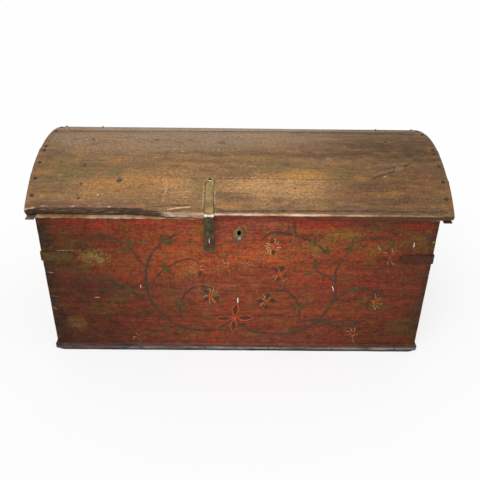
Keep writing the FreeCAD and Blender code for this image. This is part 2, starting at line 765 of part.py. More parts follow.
# Nails inside the lid: those of the hinge straps come through and are bent over outside
lid_iron_nails = []
hinge_clinch_angle = math.degrees(hinge_clinch_length / dome_radius)
for share in hinge_nail_shares:
    angle = share * dome_half_angle
    seat = dome_point(-hinge_offset, strap_inside, angle)
    through = nail(seat, -radial(angle), hinge_strap_thickness + lid_plank + nail_shank_radius)
    clinch_start = dome_point(-hinge_offset, dome_radius + nail_shank_radius, angle)
    clinch_end = dome_point(-hinge_offset, dome_radius + nail_shank_radius, angle + hinge_clinch_angle)
    lid_iron_nails += both_ends([through.fuse(rod(clinch_start, clinch_end, nail_shank_radius))])
for side in (-1, 1):
    angle = (catch_front + catch_back) / 2
    seat = dome_point(catch_offset + side * catch_nail_spread, dome_inside - lock_sheet, angle)
    lid_iron_nails.append(nail(seat, -radial(angle), nail_length))
save("lid_iron_nails", Part.makeCompound(lid_iron_nails))


# Hasp: leaf on the lid, pin, and the swinging leaf with its slot
def hasp_rod(half, radius):
    """Round bar on the hasp's axis."""
    centre = Vector(hasp_offset, hasp_y, hasp_z)
    return rod(centre - along_x * half, centre + along_x * half, radius)


lid_leaf_half = hasp_lid_width / 2
lid_leaf = dome_sector(
    dome_radius, dome_radius + hasp_thickness, hasp_axis_angle, up_from_arris(hasp_lid_length + overrun),
    hasp_offset - lid_leaf_half, hasp_offset + lid_leaf_half,
)
leaf_side = [Vector(hasp_offset + lid_leaf_half, hasp_y - hasp_thickness, rim_height)]
for place, width in hasp_lid_outline_shares:
    angle = up_from_arris(place * hasp_lid_length)
    edge = dome_point(hasp_offset + width * lid_leaf_half, dome_radius, angle)
    leaf_side.append(Vector(edge.x, edge.y, rim_height))
other_side = [Vector(2 * hasp_offset - edge.x, edge.y, edge.z) for edge in reversed(leaf_side)]
leaf_outline = prism(leaf_side + other_side, along_z * crown_rise)
hasp_tongue_half = hasp_tongue_width / 2
hasp_fork_half = hasp_tongue_half + hasp_side_gap
hasp_fork = hasp_rod(hasp_fork_half, hasp_knuckle_radius + hasp_shoulder_gap)
lid_leaf = lid_leaf.common(leaf_outline).fuse(hasp_rod(lid_leaf_half, hasp_knuckle_radius))
save("hasp_lid_leaf", lid_leaf.cut([hasp_fork, hasp_rod(lid_leaf_half, hasp_pin_radius)]))
save("hasp_pin", hasp_rod(lid_leaf_half, hasp_pin_radius))
hasp_nails = []
for place in hasp_lid_nail_places:
    angle = up_from_arris(place)
    seat = dome_point(hasp_offset, dome_radius + hasp_thickness, angle)
    hasp_nails.append(nail(seat, radial(angle), nail_length))
save("hasp_nails", Part.makeCompound(hasp_nails))

shoulder = hasp_z - hasp_knuckle_radius - hasp_shoulder_gap
end_half = hasp_end_width / 2
end_centre = hasp_z - hasp_length + end_half
leaf_rear = hasp_y + hasp_thickness / 2
top_half = hasp_top_width / 2
leaf_corners = ((-top_half, shoulder), (-end_half, end_centre), (end_half, end_centre), (top_half, shoulder))
leaf = prism([Vector(hasp_offset + x, leaf_rear, z) for x, z in leaf_corners], -along_y * hasp_thickness)
leaf_end = Part.makeCylinder(end_half, hasp_thickness, Vector(hasp_offset, leaf_rear, end_centre), -along_y)
leaf_neck = block(
    hasp_offset - hasp_tongue_half, hasp_offset + hasp_tongue_half,
    leaf_rear - hasp_thickness, leaf_rear, shoulder, hasp_z,
)
leaf = leaf.fuse([leaf_end, leaf_neck, hasp_rod(hasp_tongue_half, hasp_knuckle_radius)])
slot_half = hasp_slot_width / 2
slot_top = hasp_z - hasp_slot_top - slot_half
slot_end = hasp_z - hasp_slot_top - hasp_slot_length + slot_half
slot_sides = block(
    hasp_offset - slot_half, hasp_offset + slot_half,
    leaf_rear - hasp_thickness, leaf_rear, slot_end, slot_top,
)
slot_rounds = [
    Part.makeCylinder(slot_half, hasp_thickness, Vector(hasp_offset, leaf_rear, height), -along_y)
    for height in (slot_end, slot_top)
]
hasp_bore = hasp_rod(lid_leaf_half, hasp_pin_radius + hasp_running_clearance)
save("hasp_leaf", leaf.cut([slot_sides] + slot_rounds + [hasp_bore]).removeSplitter())
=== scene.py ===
import math

import bmesh
import bpy
from mathutils import Matrix, Vector, noise


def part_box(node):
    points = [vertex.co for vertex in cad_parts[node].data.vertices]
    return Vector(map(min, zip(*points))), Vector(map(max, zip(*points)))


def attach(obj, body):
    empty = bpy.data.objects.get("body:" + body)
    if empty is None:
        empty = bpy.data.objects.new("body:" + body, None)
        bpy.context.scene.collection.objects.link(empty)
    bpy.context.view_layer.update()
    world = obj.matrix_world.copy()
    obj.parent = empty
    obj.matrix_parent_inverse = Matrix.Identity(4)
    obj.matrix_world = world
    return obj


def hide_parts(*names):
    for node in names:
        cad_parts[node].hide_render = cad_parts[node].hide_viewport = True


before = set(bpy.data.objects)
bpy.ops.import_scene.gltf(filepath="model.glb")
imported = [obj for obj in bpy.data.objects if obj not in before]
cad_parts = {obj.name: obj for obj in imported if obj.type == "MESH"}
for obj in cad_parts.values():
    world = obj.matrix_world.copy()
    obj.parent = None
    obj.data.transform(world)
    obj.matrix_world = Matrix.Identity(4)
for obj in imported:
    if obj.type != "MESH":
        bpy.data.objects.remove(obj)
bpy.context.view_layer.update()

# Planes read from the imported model
FRONT_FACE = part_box("front_upper_board")[0].y
BACK_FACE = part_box("back_upper_board")[1].y
BOX_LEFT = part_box("front_upper_board")[0].x
BOX_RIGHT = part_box("front_upper_board")[1].x
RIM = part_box("front_upper_board")[1].z
LID_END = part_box("lid_crown_plank")[1].x
LID_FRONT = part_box("lid_front_plank")[0].y
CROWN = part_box("lid_crown_plank")[1].z
HASP_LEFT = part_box("hasp_lid_leaf")[0].x

# The dome of the lid, as the solids have it
LID_EDGE = 0.020
LID_PLANK = 0.034
LID_FRONT_PLANK_WIDTH = 0.1115
LID_SEAM_SHARES = (-0.266, 0.15, 0.58)
DOME_HALF = (BACK_FACE - LID_FRONT) / 2
DOME_RISE = CROWN - RIM - LID_EDGE
DOME_RADIUS = (DOME_HALF ** 2 + DOME_RISE ** 2) / (2 * DOME_RISE)
DOME_Y = (BACK_FACE + LID_FRONT) / 2
DOME_Z = CROWN - DOME_RADIUS
DOME_REACH = math.asin(DOME_HALF / DOME_RADIUS) * DOME_RADIUS

# The lost splinter along the lid's front edge, from past its left end to the hasp
BREAK_OVERRUN = 0.010
BREAK_HASP_GAP = 0.004
BREAK_RIM_REACH = 0.019
BREAK_CLIMB = 0.015
BREAK_DEPTH = 0.026
BREAK_OUTLINE_SHARES = (
    (0.0, 0.5), (0.02, 0.62), (0.06, 0.86), (0.13, 1.0), (0.22, 0.94), (0.31, 0.99), (0.42, 0.93),
    (0.53, 0.97), (0.63, 1.0), (0.69, 0.84), (0.76, 0.68), (0.84, 0.52), (0.92, 0.44), (1.0, 0.28),
)
CHIPPED_END = -0.43
TORN_START = -0.215
BREAK_START = -LID_END - BREAK_OVERRUN
BREAK_END = HASP_LEFT - BREAK_HASP_GAP


# Camera, matched to the photograph
PHOTO_PIXELS = 480
CAMERA_PLACE = Vector((-0.01114, -1.64438, 1.18539))
CAMERA_YAW = math.radians(-0.568)
CAMERA_PITCH = math.radians(30.367)
CAMERA_ROLL = math.radians(0.805)
CAMERA_LENS = 43.77
CAMERA_SENSOR = 36.0


def camera_axes():
    """Right, up and forward of the camera."""
    forward = Vector((
        -math.sin(CAMERA_YAW) * math.cos(CAMERA_PITCH),
        math.cos(CAMERA_YAW) * math.cos(CAMERA_PITCH),
        -math.sin(CAMERA_PITCH),
    ))
    level = Vector((math.cos(CAMERA_YAW), math.sin(CAMERA_YAW), 0))
    above = level.cross(forward)
    right = level * math.cos(CAMERA_ROLL) + above * math.sin(CAMERA_ROLL)
    return right, right.cross(forward), forward


CAMERA_RIGHT, CAMERA_UP, CAMERA_FORWARD = camera_axes()


def pixel_ray(pixel):
    """Direction from the camera through a pixel of the photograph."""
    scale = CAMERA_SENSOR / CAMERA_LENS / PHOTO_PIXELS
    across = (pixel[0] - PHOTO_PIXELS / 2) * scale
    down = (pixel[1] - PHOTO_PIXELS / 2) * scale
    return CAMERA_FORWARD + CAMERA_RIGHT * across - CAMERA_UP * down


def front_spot(pixel):
    """(x, z) on the front face under a pixel."""
    ray = pixel_ray(pixel)
    hit = CAMERA_PLACE + ray * ((FRONT_FACE - CAMERA_PLACE.y) / ray.y)
    return hit.x, hit.z


def lid_spot(pixel):
    """(x, distance from the crown along the dome) under a pixel of the lid."""
    ray = pixel_ray(pixel)
    y = CAMERA_PLACE.y - DOME_Y
    z = CAMERA_PLACE.z - DOME_Z
    a = ray.y ** 2 + ray.z ** 2
    b = y * ray.y + z * ray.z
    c = y ** 2 + z ** 2 - DOME_RADIUS ** 2
    reach = (-b - math.sqrt(max(b * b - a * c, 0))) / a
    return CAMERA_PLACE.x + ray.x * reach, DOME_RADIUS * math.atan2(y + ray.y * reach, z + ray.z * reach)


# Colours, written as they look on a screen
def tint(red, green, blue):
    """Screen colour from 0 to 255 as the linear colour that shaders take."""
    linear = []
    for part in (red, green, blue):
        share = part / 255
        linear.append(share / 12.92 if share < 0.04045 else ((share + 0.055) / 1.055) ** 2.4)
    return (*linear, 1.0)


def darker(colour, share):
    """A share of a linear colour."""
    return (*(part * share for part in colour[:3]), 1.0)


RED = tint(136, 60, 36)
DEEP_RED = tint(108, 52, 34)
CRIMSON = tint(158, 46, 32)
ROSE = tint(150, 70, 56)
ORANGE = tint(172, 82, 40)
OCHRE = tint(148, 114, 46)
GILT = tint(176, 144, 74)
OLIVE = tint(108, 92, 40)
EARTH = tint(100, 58, 42)
MAUVE = tint(120, 64, 54)
DARK_BROWN = tint(60, 43, 26)
BARE_PINE = tint(164, 126, 86)
AGED_PINE = tint(120, 88, 60)
PALE_WOOD = tint(206, 178, 146)
TAN = tint(164, 120, 72)
GOLD = tint(194, 148, 100)
AMBER = tint(184, 128, 62)
LID_RED = tint(138, 86, 56)
LID_BROWN = tint(122, 92, 64)
LID_LIGHT = tint(142, 108, 72)
LID_GREY = tint(150, 128, 106)
LID_PALE_GREY = tint(170, 154, 136)
LID_GREEN = tint(108, 96, 58)
LID_DARK = tint(82, 62, 48)
PLUM = tint(110, 76, 64)
SPLIT_DARK = tint(60, 45, 37)
STEM_GREEN = tint(54, 52, 40)
PETAL_GREEN = tint(46, 50, 34)
LEAF_GREEN = tint(64, 66, 32)
CREAM = tint(208, 180, 124)
FLOWER_ORANGE = tint(172, 78, 30)
PETAL_ORANGE = tint(204, 76, 38)
# White of small marks, also used for painted highlights on the keyhole sill, the hasp's knuckles, its top
# nail and the staple
WHITE_MARK_AND_HIGHLIGHT = tint(232, 222, 206)
CHIP_AND_HIGHLIGHT_GREY = tint(178, 164, 154)
IRON_DARK = tint(54, 50, 42)
IRON_GREEN = tint(76, 68, 42)
IRON_BRONZE = tint(156, 130, 82)
IRON_BRIGHT = tint(190, 184, 170)
RUST = tint(104, 66, 42)
MOULDING_GREY = tint(78, 68, 66)
MOULDING_DARK = tint(50, 42, 40)


# Specular level of each finish
DULL = 0.12
BACK_SHINE = 0.2
TILL_SHINE = 0.25
IRON_SHINE = 0.35
STRAP_SHINE = 0.1
ESCUTCHEON_SHINE = 0.2
HASP_SHINE = 0.14
NAIL_SHINE = 0.4
# Stains: how far noise eats into them, how far they reach past their size, where they start and are full
STAIN_RAGGED = 3.0
STAIN_SPREAD = 1.15
STAIN_FADE = (1.1, 0.1)


class Shader:
    """One material, with short names for the nodes that it is wired from."""

    def __init__(self, name):
        self.material = bpy.data.materials.new(name)
        self.material.use_nodes = True
        self.tree = self.material.node_tree
        self.tree.nodes.clear()
        self.output = self.add("ShaderNodeOutputMaterial")
        self.surface = self.add("ShaderNodeBsdfPrincipled")
        self.put(self.output.inputs["Surface"], self.surface.outputs[0])
        self.place = self.add("ShaderNodeTexCoord").outputs["Object"]

    def add(self, kind, **settings):
        """New node with its settings."""
        node = self.tree.nodes.new(kind)
        for key, value in settings.items():
            setattr(node, key, value)
        return node

    def put(self, socket, value):
        """Link another node's output, or set a plain value."""
        if isinstance(value, bpy.types.NodeSocket):
            self.tree.links.new(value, socket)
        else:
            socket.default_value = value

    def calc(self, operation, first, second=0.0, third=0.0):
        """Number from one to three numbers."""
        node = self.add("ShaderNodeMath", operation=operation)
        for socket, value in zip(node.inputs, (first, second, third)):
            self.put(socket, value)
        return node.outputs[0]

    def vector(self, operation, first, second=(0, 0, 0), third=(0, 0, 0)):
        """Vector from one to three vectors."""
        node = self.add("ShaderNodeVectorMath", operation=operation)
        for socket, value in zip(node.inputs, (first, second, third)):
            self.put(socket, value)
        return node.outputs[1] if operation == "LENGTH" else node.outputs[0]

    def part(self, vector, letter):
        """One coordinate of a vector."""
        node = self.add("ShaderNodeSeparateXYZ")
        self.put(node.inputs[0], vector)
        return node.outputs["XYZ".index(letter)]

    def turned(self, letters):
        """The place with its coordinates in another order, for grain that runs another way."""
        node = self.add("ShaderNodeCombineXYZ")
        for socket, letter in zip(node.inputs, letters):
            self.put(socket, self.part(self.place, letter))
        return node.outputs[0]

    def knots(self, vector, often):
        """Distance in metres to the nearest knot, scattered with a frequency in each direction."""
        node = self.add("ShaderNodeTexVoronoi")
        self.put(node.inputs["Vector"], self.vector("MULTIPLY", vector, often))
        self.put(node.inputs["Scale"], 1.0)
        spot = self.vector("DIVIDE", node.outputs["Position"], often)
        return self.vector("LENGTH", self.vector("SUBTRACT", vector, spot))

    def step(self, value, start, end, low=0.0, high=1.0):
        """Smooth climb from low to high while the value goes from start to end."""
        node = self.add("ShaderNodeMapRange", interpolation_type="SMOOTHSTEP")
        for socket, number in zip(node.inputs, (value, start, end, low, high)):
            self.put(socket, number)
        return node.outputs[0]

    def cloud(self, vector, stretch, detail=3.0, rough=0.55, shift=(0, 0, 0)):
        """Noise from 0 to 1, with its frequency in each direction."""
        node = self.add("ShaderNodeTexNoise")
        self.put(node.inputs["Vector"], self.vector("MULTIPLY_ADD", vector, stretch, shift))
        self.put(node.inputs["Scale"], 1.0)
        self.put(node.inputs["Detail"], detail)
        self.put(node.inputs["Roughness"], rough)
        return node.outputs[0]

    def warped(self, vector, frequency, reach):
        """The vector pushed about by noise, for edges that aren't drawn with a ruler."""
        node = self.add("ShaderNodeTexNoise")
        self.put(node.inputs["Vector"], vector)
        self.put(node.inputs["Scale"], frequency)
        self.put(node.inputs["Detail"], 3.0)
        push = self.vector("SUBTRACT", node.outputs[1], (0.5, 0.5, 0.5))
        return self.vector("MULTIPLY_ADD", push, (reach, reach, reach), vector)

    def mix(self, share, first, second):
        """Blend of two colours."""
        node = self.add("ShaderNodeMix", data_type="RGBA", clamp_factor=True)
        self.put(node.inputs[0], share)
        self.put(node.inputs[6], first)
        self.put(node.inputs[7], second)
        return node.outputs[2]

    def shade(self, colour, factor):
        """Colour times a number."""
        node = self.add("ShaderNodeVectorMath", operation="SCALE")
        self.put(node.inputs[0], colour)
        self.put(node.inputs["Scale"], factor)
        return node.outputs[0]

    def clouds(self, vector, settings):
        """Noises by name, from a table of what each takes."""
        return {name: self.cloud(vector, *values) for name, values in settings.items()}

    def coated(self, colour, values, coats):
        """The colour under coats of paint: name of a value, from and to, strength, paint."""
        for name, start, end, strength, paint in coats:
            colour = self.mix(self.step(values[name], start, end, 0.0, strength), colour, paint)
        return colour

    def toned(self, colour, values, tones):
        """The colour made lighter and darker: name of a value, from and to, level at both."""
        for name, *steps in tones:
            colour = self.shade(colour, self.step(values[name], *steps))
        return colour

    def attribute(self, name):
        """Values stored on the mesh."""
        return self.add("ShaderNodeAttribute", attribute_name=name)

    def blot(self, vector, centre, half, ragged, strength):
        """Mask about a centre that fades out towards the half sizes and is eaten away by noise."""
        scale = tuple(1 / size if size else 0.0 for size in half)
        offset = tuple(-middle * share for middle, share in zip(centre, scale))
        away = self.vector("LENGTH", self.vector("MULTIPLY_ADD", vector, scale, offset))
        return self.step(self.calc("MULTIPLY_ADD", ragged, -STAIN_RAGGED, away), *STAIN_FADE, 0.0, strength)

    def finish(self, colour, roughness, height, depth, specular=DULL):
        """Wire colour, roughness and bump, and give the material."""
        self.put(self.surface.inputs["Base Color"], colour)
        self.put(self.surface.inputs["Roughness"], roughness)
        self.surface.inputs["Specular IOR Level"].default_value = specular
        bump = self.add("ShaderNodeBump")
        bump.inputs["Strength"].default_value = 1.0
        bump.inputs["Distance"].default_value = depth
        self.put(bump.inputs["Height"], height)
        self.put(self.surface.inputs["Normal"], bump.outputs[0])
        return self.material


# Stains on the painted front: pixel, half sizes in pixels, colour, strength
PANEL_STAINS = (
    ((175, 248), (66, 30), ORANGE, 0.4),
    ((190, 262), (42, 14), ORANGE, 0.4),
    ((262, 254), (46, 14), ORANGE, 0.75),
    ((125, 262), (34, 18), ORANGE, 0.3),
    ((318, 272), (44, 9), ORANGE, 0.35),
    ((340, 312), (38, 10), ORANGE, 0.35),
    ((360, 252), (46, 10), ORANGE, 0.35),
    ((100, 222), (66, 6), CRIMSON, 0.8),
    ((165, 223), (38, 7), CRIMSON, 0.6),
    ((312, 225), (34, 8), CRIMSON, 0.7),
    ((422, 226), (24, 7), CRIMSON, 0.8),
    ((345, 286), (80, 14), CRIMSON, 0.3),
    ((98, 226), (44, 7), PETAL_ORANGE, 0.45),
    ((228, 232), (18, 16), ROSE, 0.6),
    ((266, 227), (30, 8), ROSE, 0.7),
    ((176, 224), (12, 4), ROSE, 0.4),
    ((206, 288), (34, 8), MAUVE, 0.6),
    ((275, 339), (62, 10), MAUVE, 0.7),
    ((160, 338), (70, 9), MAUVE, 0.4),
    ((345, 237), (28, 8), OCHRE, 0.65),
    ((320, 247), (26, 7), OCHRE, 0.45),
    ((380, 249), (18, 7), OCHRE, 0.5),
    ((416, 243), (26, 10), OLIVE, 0.6),
    ((380, 230), (30, 6), OLIVE, 0.35),
    ((58, 231), (13, 6), OCHRE, 0.35),
    ((62, 250), (28, 14), OLIVE, 0.65),
    ((93, 258), (17, 9), GILT, 0.85),
    ((60, 268), (20, 7), OLIVE, 0.5),
    ((86, 270), (14, 7), OLIVE, 0.5),
    ((127, 225), (8, 3), OLIVE, 0.5),
    ((140, 242), (10, 5), OLIVE, 0.4),
    ((121, 298), (12, 8), OLIVE, 0.55),
    ((102, 307), (20, 9), OLIVE, 0.45),
    ((74, 323), (14, 7), GILT, 0.55),
    ((189, 274), (14, 5), OCHRE, 0.35),
    ((199, 231), (11, 7), OCHRE, 0.45),
    ((371, 303), (15, 7), OLIVE, 0.5),
    ((400, 327), (20, 8), OLIVE, 0.6),
    ((76, 284), (40, 6), DARK_BROWN, 0.4),
    ((96, 293), (40, 6), EARTH, 0.5),
    ((92, 338), (50, 12), EARTH, 0.6),
    ((150, 315), (70, 6), DARK_BROWN, 0.2),
    ((60, 326), (13, 20), DARK_BROWN, 0.6),
    ((48, 236), (12, 20), DARK_BROWN, 0.5),
    ((416, 318), (16, 32), DARK_BROWN, 0.45),
)


# Broad darkening towards both ends and the bottom, of the front and of the ends: axis, from and to, level at
# both
BROAD_TONES = (("X", -0.5, -0.02, 0.46, 1.05), ("X", 0.06, 0.5, 1.0, 0.55), ("Z", 0.02, 0.3, 0.8, 1.0))
END_BROAD_TONES = (("X", -0.3, -0.05, 0.7, 0.9), ("X", 0.05, 0.3, 1.0, 0.75), ("Z", 0.02, 0.3, 0.7, 1.0))
# Handled and rained-on ends of the front: where, distance over which the paint darkens, and how much
END_GRIME = ((BOX_LEFT, 0.052, 0.8), (BOX_RIGHT, -0.024, 0.6))
GRIME_FULL = 0.2


def placed_stains(stains, spot, place):
    """Stains in metres, as the shader takes them: centre, half sizes, colour, strength."""
    placed = []
    for pixel, half, colour, strength in stains:
        across, up = spot(pixel)
        edge, _ = spot((pixel[0] + half[0], pixel[1]))
        _, low = spot((pixel[0], pixel[1] + half[1]))
        size = place(abs(edge - across) * STAIN_SPREAD, abs(low - up) * STAIN_SPREAD)
        placed.append((place(across, up), size, colour, strength))
    return placed


def wood_noises(along, across):
    """Fine streaks and broad figure of a plank, by their frequencies along and across it."""
    return {
        "fine": ((along * 3, across, across), 4.0, 0.6),
        "broad": ((along, across * 0.16, across * 0.16), 3.0, 0.5, (3.7, 1.3, 8.1)),
    }


# A look holds noises (frequencies in each direction, detail, roughness, place in the noise), the ground
# colour, coats and flecks (noise, from and to, strength, paint), tones (noise, from and to, level at both),
# roughness where it is whole and worn, and the share of the fine and the mottled noise in the bump.
# This one is the front's old red paint.
PANEL_LOOK = {
    "noises": {
        **wood_noises(4.0, 320.0),
        "worn": ((40, 40, 62), 6.0, 0.7, (5, 2, 9)),
        "brushed": ((230, 20, 24), 4.0, 0.65),
        "mottled": ((105, 60, 165), 5.0, 0.75, (2, 6, 4)),
        "crimson": ((22, 22, 46), 5.0, 0.65, (11, 3, 5)),
        "olive": ((18, 18, 40), 5.0, 0.65, (1, 13, 8)),
        "mauve": ((26, 26, 60), 5.0, 0.65, (7, 9, 2)),
        "specks": ((420, 60, 700), 2.0, 0.5, (1, 7, 3)),
        "flecks": ((300, 60, 520), 2.0, 0.5, (8, 4, 6)),
    },
    "ground": DEEP_RED,
    "grain": (("broad", 0.3, 0.7, 1.0, RED),),
    "warps": ((16.0, 0.05), (70.0, 0.014)),
    "ragged": "brushed",
    "stains": placed_stains(PANEL_STAINS, front_spot, lambda x, z: (x, 0, z)),
    "grime": END_GRIME,
    "coats": (
        ("crimson", 0.52, 0.66, 0.5, CRIMSON), ("olive", 0.52, 0.66, 0.5, OLIVE),
        ("mauve", 0.52, 0.66, 0.5, MAUVE), ("worn", 0.5, 0.66, 0.5, DARK_BROWN),
        ("worn", 0.46, 0.34, 0.35, ORANGE), ("brushed", 0.53, 0.66, 0.3, OLIVE),
    ),
    "tones": (("mottled", 0.36, 0.64, 0.76, 1.22), ("fine", 0.36, 0.64, 0.86, 1.12)),
    "flecks": (("specks", 0.6, 0.72, 0.6, DARK_BROWN), ("flecks", 0.65, 0.75, 0.5, OCHRE)),
    "broad_tones": BROAD_TONES,
    "roughness": (0.5, 0.72),
    "heights": (0.6, 0.6),
}
# The same paint on the ends, without the stains of the front
END_LOOK = {**PANEL_LOOK, "stains": (), "grime": (), "broad_tones": END_BROAD_TONES}
WORN_RANGE = (0.3, 0.7)


def old_surface(shader, vector, look):
    """Colour, roughness and height of old paint or wax, from the tables of its look."""
    clouds = shader.clouds(vector, look["noises"])
    colour = shader.coated(look["ground"], clouds, look["grain"])
    loose = vector
    for frequency, reach in look["warps"]:
        loose = shader.warped(loose, frequency, reach)
    ragged = shader.calc("ADD", clouds[look["ragged"]], clouds["mottled"])
    ragged = shader.calc("MULTIPLY_ADD", ragged, 0.5, -0.5)
    for centre, half, paint, strength in look["stains"]:
        colour = shader.mix(shader.blot(loose, centre, half, ragged, strength), colour, paint)
    for end, reach, strength in look["grime"]:
        near = shader.step(shader.part(loose, "X"), end + reach, end + reach * GRIME_FULL, 0.0, strength)
        colour = shader.mix(near, colour, DARK_BROWN)
    colour = shader.coated(colour, clouds, look["coats"])
    colour = shader.toned(colour, clouds, look["tones"])
    colour = shader.coated(colour, clouds, look["flecks"])
    colour = shader.toned(colour, {letter: shader.part(vector, letter) for letter in "XYZ"}, look["broad_tones"])
    roughness = shader.step(clouds["worn"], *WORN_RANGE, *look["roughness"])
    fine_height, mottled_height = look["heights"]
    height = shader.calc("MULTIPLY", clouds["mottled"], mottled_height)
    return colour, roughness, shader.calc("MULTIPLY_ADD", clouds["fine"], fine_height, height)


# Plain-sawn pine: middle of the tree beside the board, ring width, size of a knot, all in metres
PITH = (0.0, 0.07, 0.21)
RING_WIDTH = 0.007
RING_FLOW = RING_WIDTH * 9
LATE_START = (0.35, 0.9)
LATE_END = (1.0, 0.93)
KNOT = 0.011
KNOTS_OFTEN = (5.5, 9.0, 9.0)
PINE_NOISES = {
    "flow": ((1.6, 7, 7), 3.0, 0.5, (2, 5, 1)),
    "fibres": ((16, 620, 620), 3.0, 0.6),
    "tone": ((3, 26, 26), 4.0, 0.6, (3.7, 1.3, 8.1)),
    "checks": ((5, 330, 330), 2.0, 0.5, (6, 6, 2)),
    "stain": ((6, 9, 9), 4.0, 0.6, (2, 5, 1)),
}
PINE_TONES = (("checks", 0.66, 0.72, 1.0, 0.4), ("stain", 0.3, 0.7, 0.72, 1.1))
# How much of the dark wood's colour the late rings, a knot's rim and its heart keep
LATE_DARK = 0.72
KNOT_RIM_DARK = 0.3
KNOT_HEART_DARK = 0.55
LATE_STRENGTH = 0.62


def bare_boards(shader, vector, light=BARE_PINE, dark=AGED_PINE):
    """Colour, roughness and height of unpainted old pine with its grain along X."""
    clouds = shader.clouds(vector, PINE_NOISES)
    to_knot = shader.knots(vector, KNOTS_OFTEN)
    round_knot = shader.step(to_knot, KNOT * 4, 0.0, 0.0, KNOT * 1.5)
    away = shader.vector("MULTIPLY", shader.vector("SUBTRACT", vector, PITH), (0, 1, 1))
    radius = shader.calc("MULTIPLY_ADD", clouds["flow"], RING_FLOW, shader.vector("LENGTH", away))
    ring = shader.calc("FRACT", shader.calc("DIVIDE", shader.calc("ADD", radius, round_knot), RING_WIDTH))
    late = shader.calc("MULTIPLY", shader.step(ring, *LATE_START), shader.step(ring, *LATE_END))
    colour = shader.coated(light, clouds, (("tone", 0.32, 0.68, 0.7, dark),))
    colour = shader.mix(shader.calc("MULTIPLY", late, LATE_STRENGTH), colour, darker(dark, LATE_DARK))
    colour = shader.toned(colour, clouds, (("fibres", 0.32, 0.68, 0.78, 1.16),))
    heart, rim = darker(dark, KNOT_HEART_DARK), darker(dark, KNOT_RIM_DARK)
    heart = shader.mix(shader.step(to_knot, 0.0, KNOT), heart, rim)
    colour = shader.mix(shader.step(to_knot, KNOT, KNOT * 0.7), colour, heart)
    colour = shader.toned(colour, clouds, PINE_TONES)
    height = shader.calc("MULTIPLY_ADD", late, 0.35, shader.calc("MULTIPLY", clouds["fibres"], 0.7))
    return colour, shader.step(clouds["fibres"], 0.2, 0.8, 0.6, 0.8), height


def to_box_end(shader):
    """Distance from the nearer end of the box."""
    from_middle = shader.calc("SUBTRACT", shader.part(shader.place, "X"), (BOX_LEFT + BOX_RIGHT) / 2)
    return shader.calc("SUBTRACT", (BOX_RIGHT - BOX_LEFT) / 2, shader.calc("ABSOLUTE", from_middle))


# Where the left half of the chest gives way to the right
MIDDLE = (-0.1, 0.1)
# Depth of the bump in each finish
PAINT_BUMP = 0.0007
WOOD_BUMP = 0.0008
TILL_BUMP = 0.0005
# How far the ends' paint covers the tails of the front and back boards
TAIL_PAINT = (0.0014, 0.0006)
TAIL_WEAR = ((50, 50, 50), 4.0, 0.65, (1, 8, 5))
# Noises of the worn rim, how far they reach into the paint's edge and the rim, and where both end
RIM_NOISES = {"rag": ((60, 60, 60), 4.0, 0.6), "tone": ((9, 9, 9), 4.0, 0.6, (7, 7, 7))}
PAINT_EDGE_RAG = -0.0015
PAINT_EDGE = (-0.0004, 0.0004)
RIM_RAG = -0.006
RIM_WEAR = (-0.0012, -0.0028)
# Keyhole: its middle below the top of the escutcheon, its sill below that, half its width
ESCUTCHEON_RISE = 0.023
KEYHOLE_SILL = 0.0215
KEYHOLE_HALF = 0.0046
# Painted highlight on the lower end of the keyhole, where its sill catches the light: half widths and half
# heights where it ends and is full
SILL_HIGHLIGHT_HALF = (KEYHOLE_HALF + 0.0004, KEYHOLE_HALF)
SILL_HIGHLIGHT_RISE = (0.0016, 0.0010)


def keyhole_centre():
    """Middle of the round part of the keyhole, on the front face."""
    return Vector((0, FRONT_FACE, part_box("keyhole_escutcheon")[1].z - ESCUTCHEON_RISE))


def painted_over_ends(shader, colour):
    """The colour of a front or back board, with the ends' paint over its tails, thin on the end grain."""
    coat, _, _ = old_surface(shader, shader.turned("YXZ"), END_LOOK)
    worn = shader.cloud(shader.place, *TAIL_WEAR)
    coat = shader.mix(shader.step(worn, 0.5, 0.66, 0.1, 0.75), coat, DARK_BROWN)
    return shader.mix(shader.step(to_box_end(shader), *TAIL_PAINT), colour, coat)


def front_board_material():
    """Painted outside, bare inside, with the rim worn to pale wood and a painted highlight on the keyhole's
    sill.
    """
    shader = Shader("front_board_paint")
    painted, roughness, height = old_surface(shader, shader.place, PANEL_LOOK)
    bare, _, _ = bare_boards(shader, shader.place)
    clouds = shader.clouds(shader.place, RIM_NOISES)
    x, y, z = (shader.part(shader.place, letter) for letter in "XYZ")
    depth = shader.calc("MULTIPLY_ADD", clouds["rag"], PAINT_EDGE_RAG, shader.calc("SUBTRACT", y, FRONT_FACE))
    colour = shader.mix(shader.step(depth, *PAINT_EDGE), painted, bare)
    colour = painted_over_ends(shader, colour)
    pale = shader.coated(BARE_PINE, clouds, (("tone", 0.4, 0.6, 1.0, PALE_WOOD),))
    pale = shader.toned(pale, clouds, (("rag", 0.35, 0.65, 0.8, 1.12),))
    below_rim = shader.calc("MULTIPLY_ADD", clouds["rag"], RIM_RAG, shader.calc("SUBTRACT", RIM, z))
    colour = shader.mix(shader.step(below_rim, *RIM_WEAR), colour, pale)
    # Painted highlight: the lit sill at the foot of the keyhole, in white
    sideways = shader.step(shader.calc("ABSOLUTE", x), *SILL_HIGHLIGHT_HALF)
    from_sill = shader.calc("ABSOLUTE", shader.calc("SUBTRACT", z, keyhole_centre().z - KEYHOLE_SILL))
    sill_highlight = shader.calc("MULTIPLY", sideways, shader.step(from_sill, *SILL_HIGHLIGHT_RISE))
    colour = shader.mix(sill_highlight, colour, WHITE_MARK_AND_HIGHLIGHT)
    return shader.finish(colour, roughness, height, PAINT_BUMP)


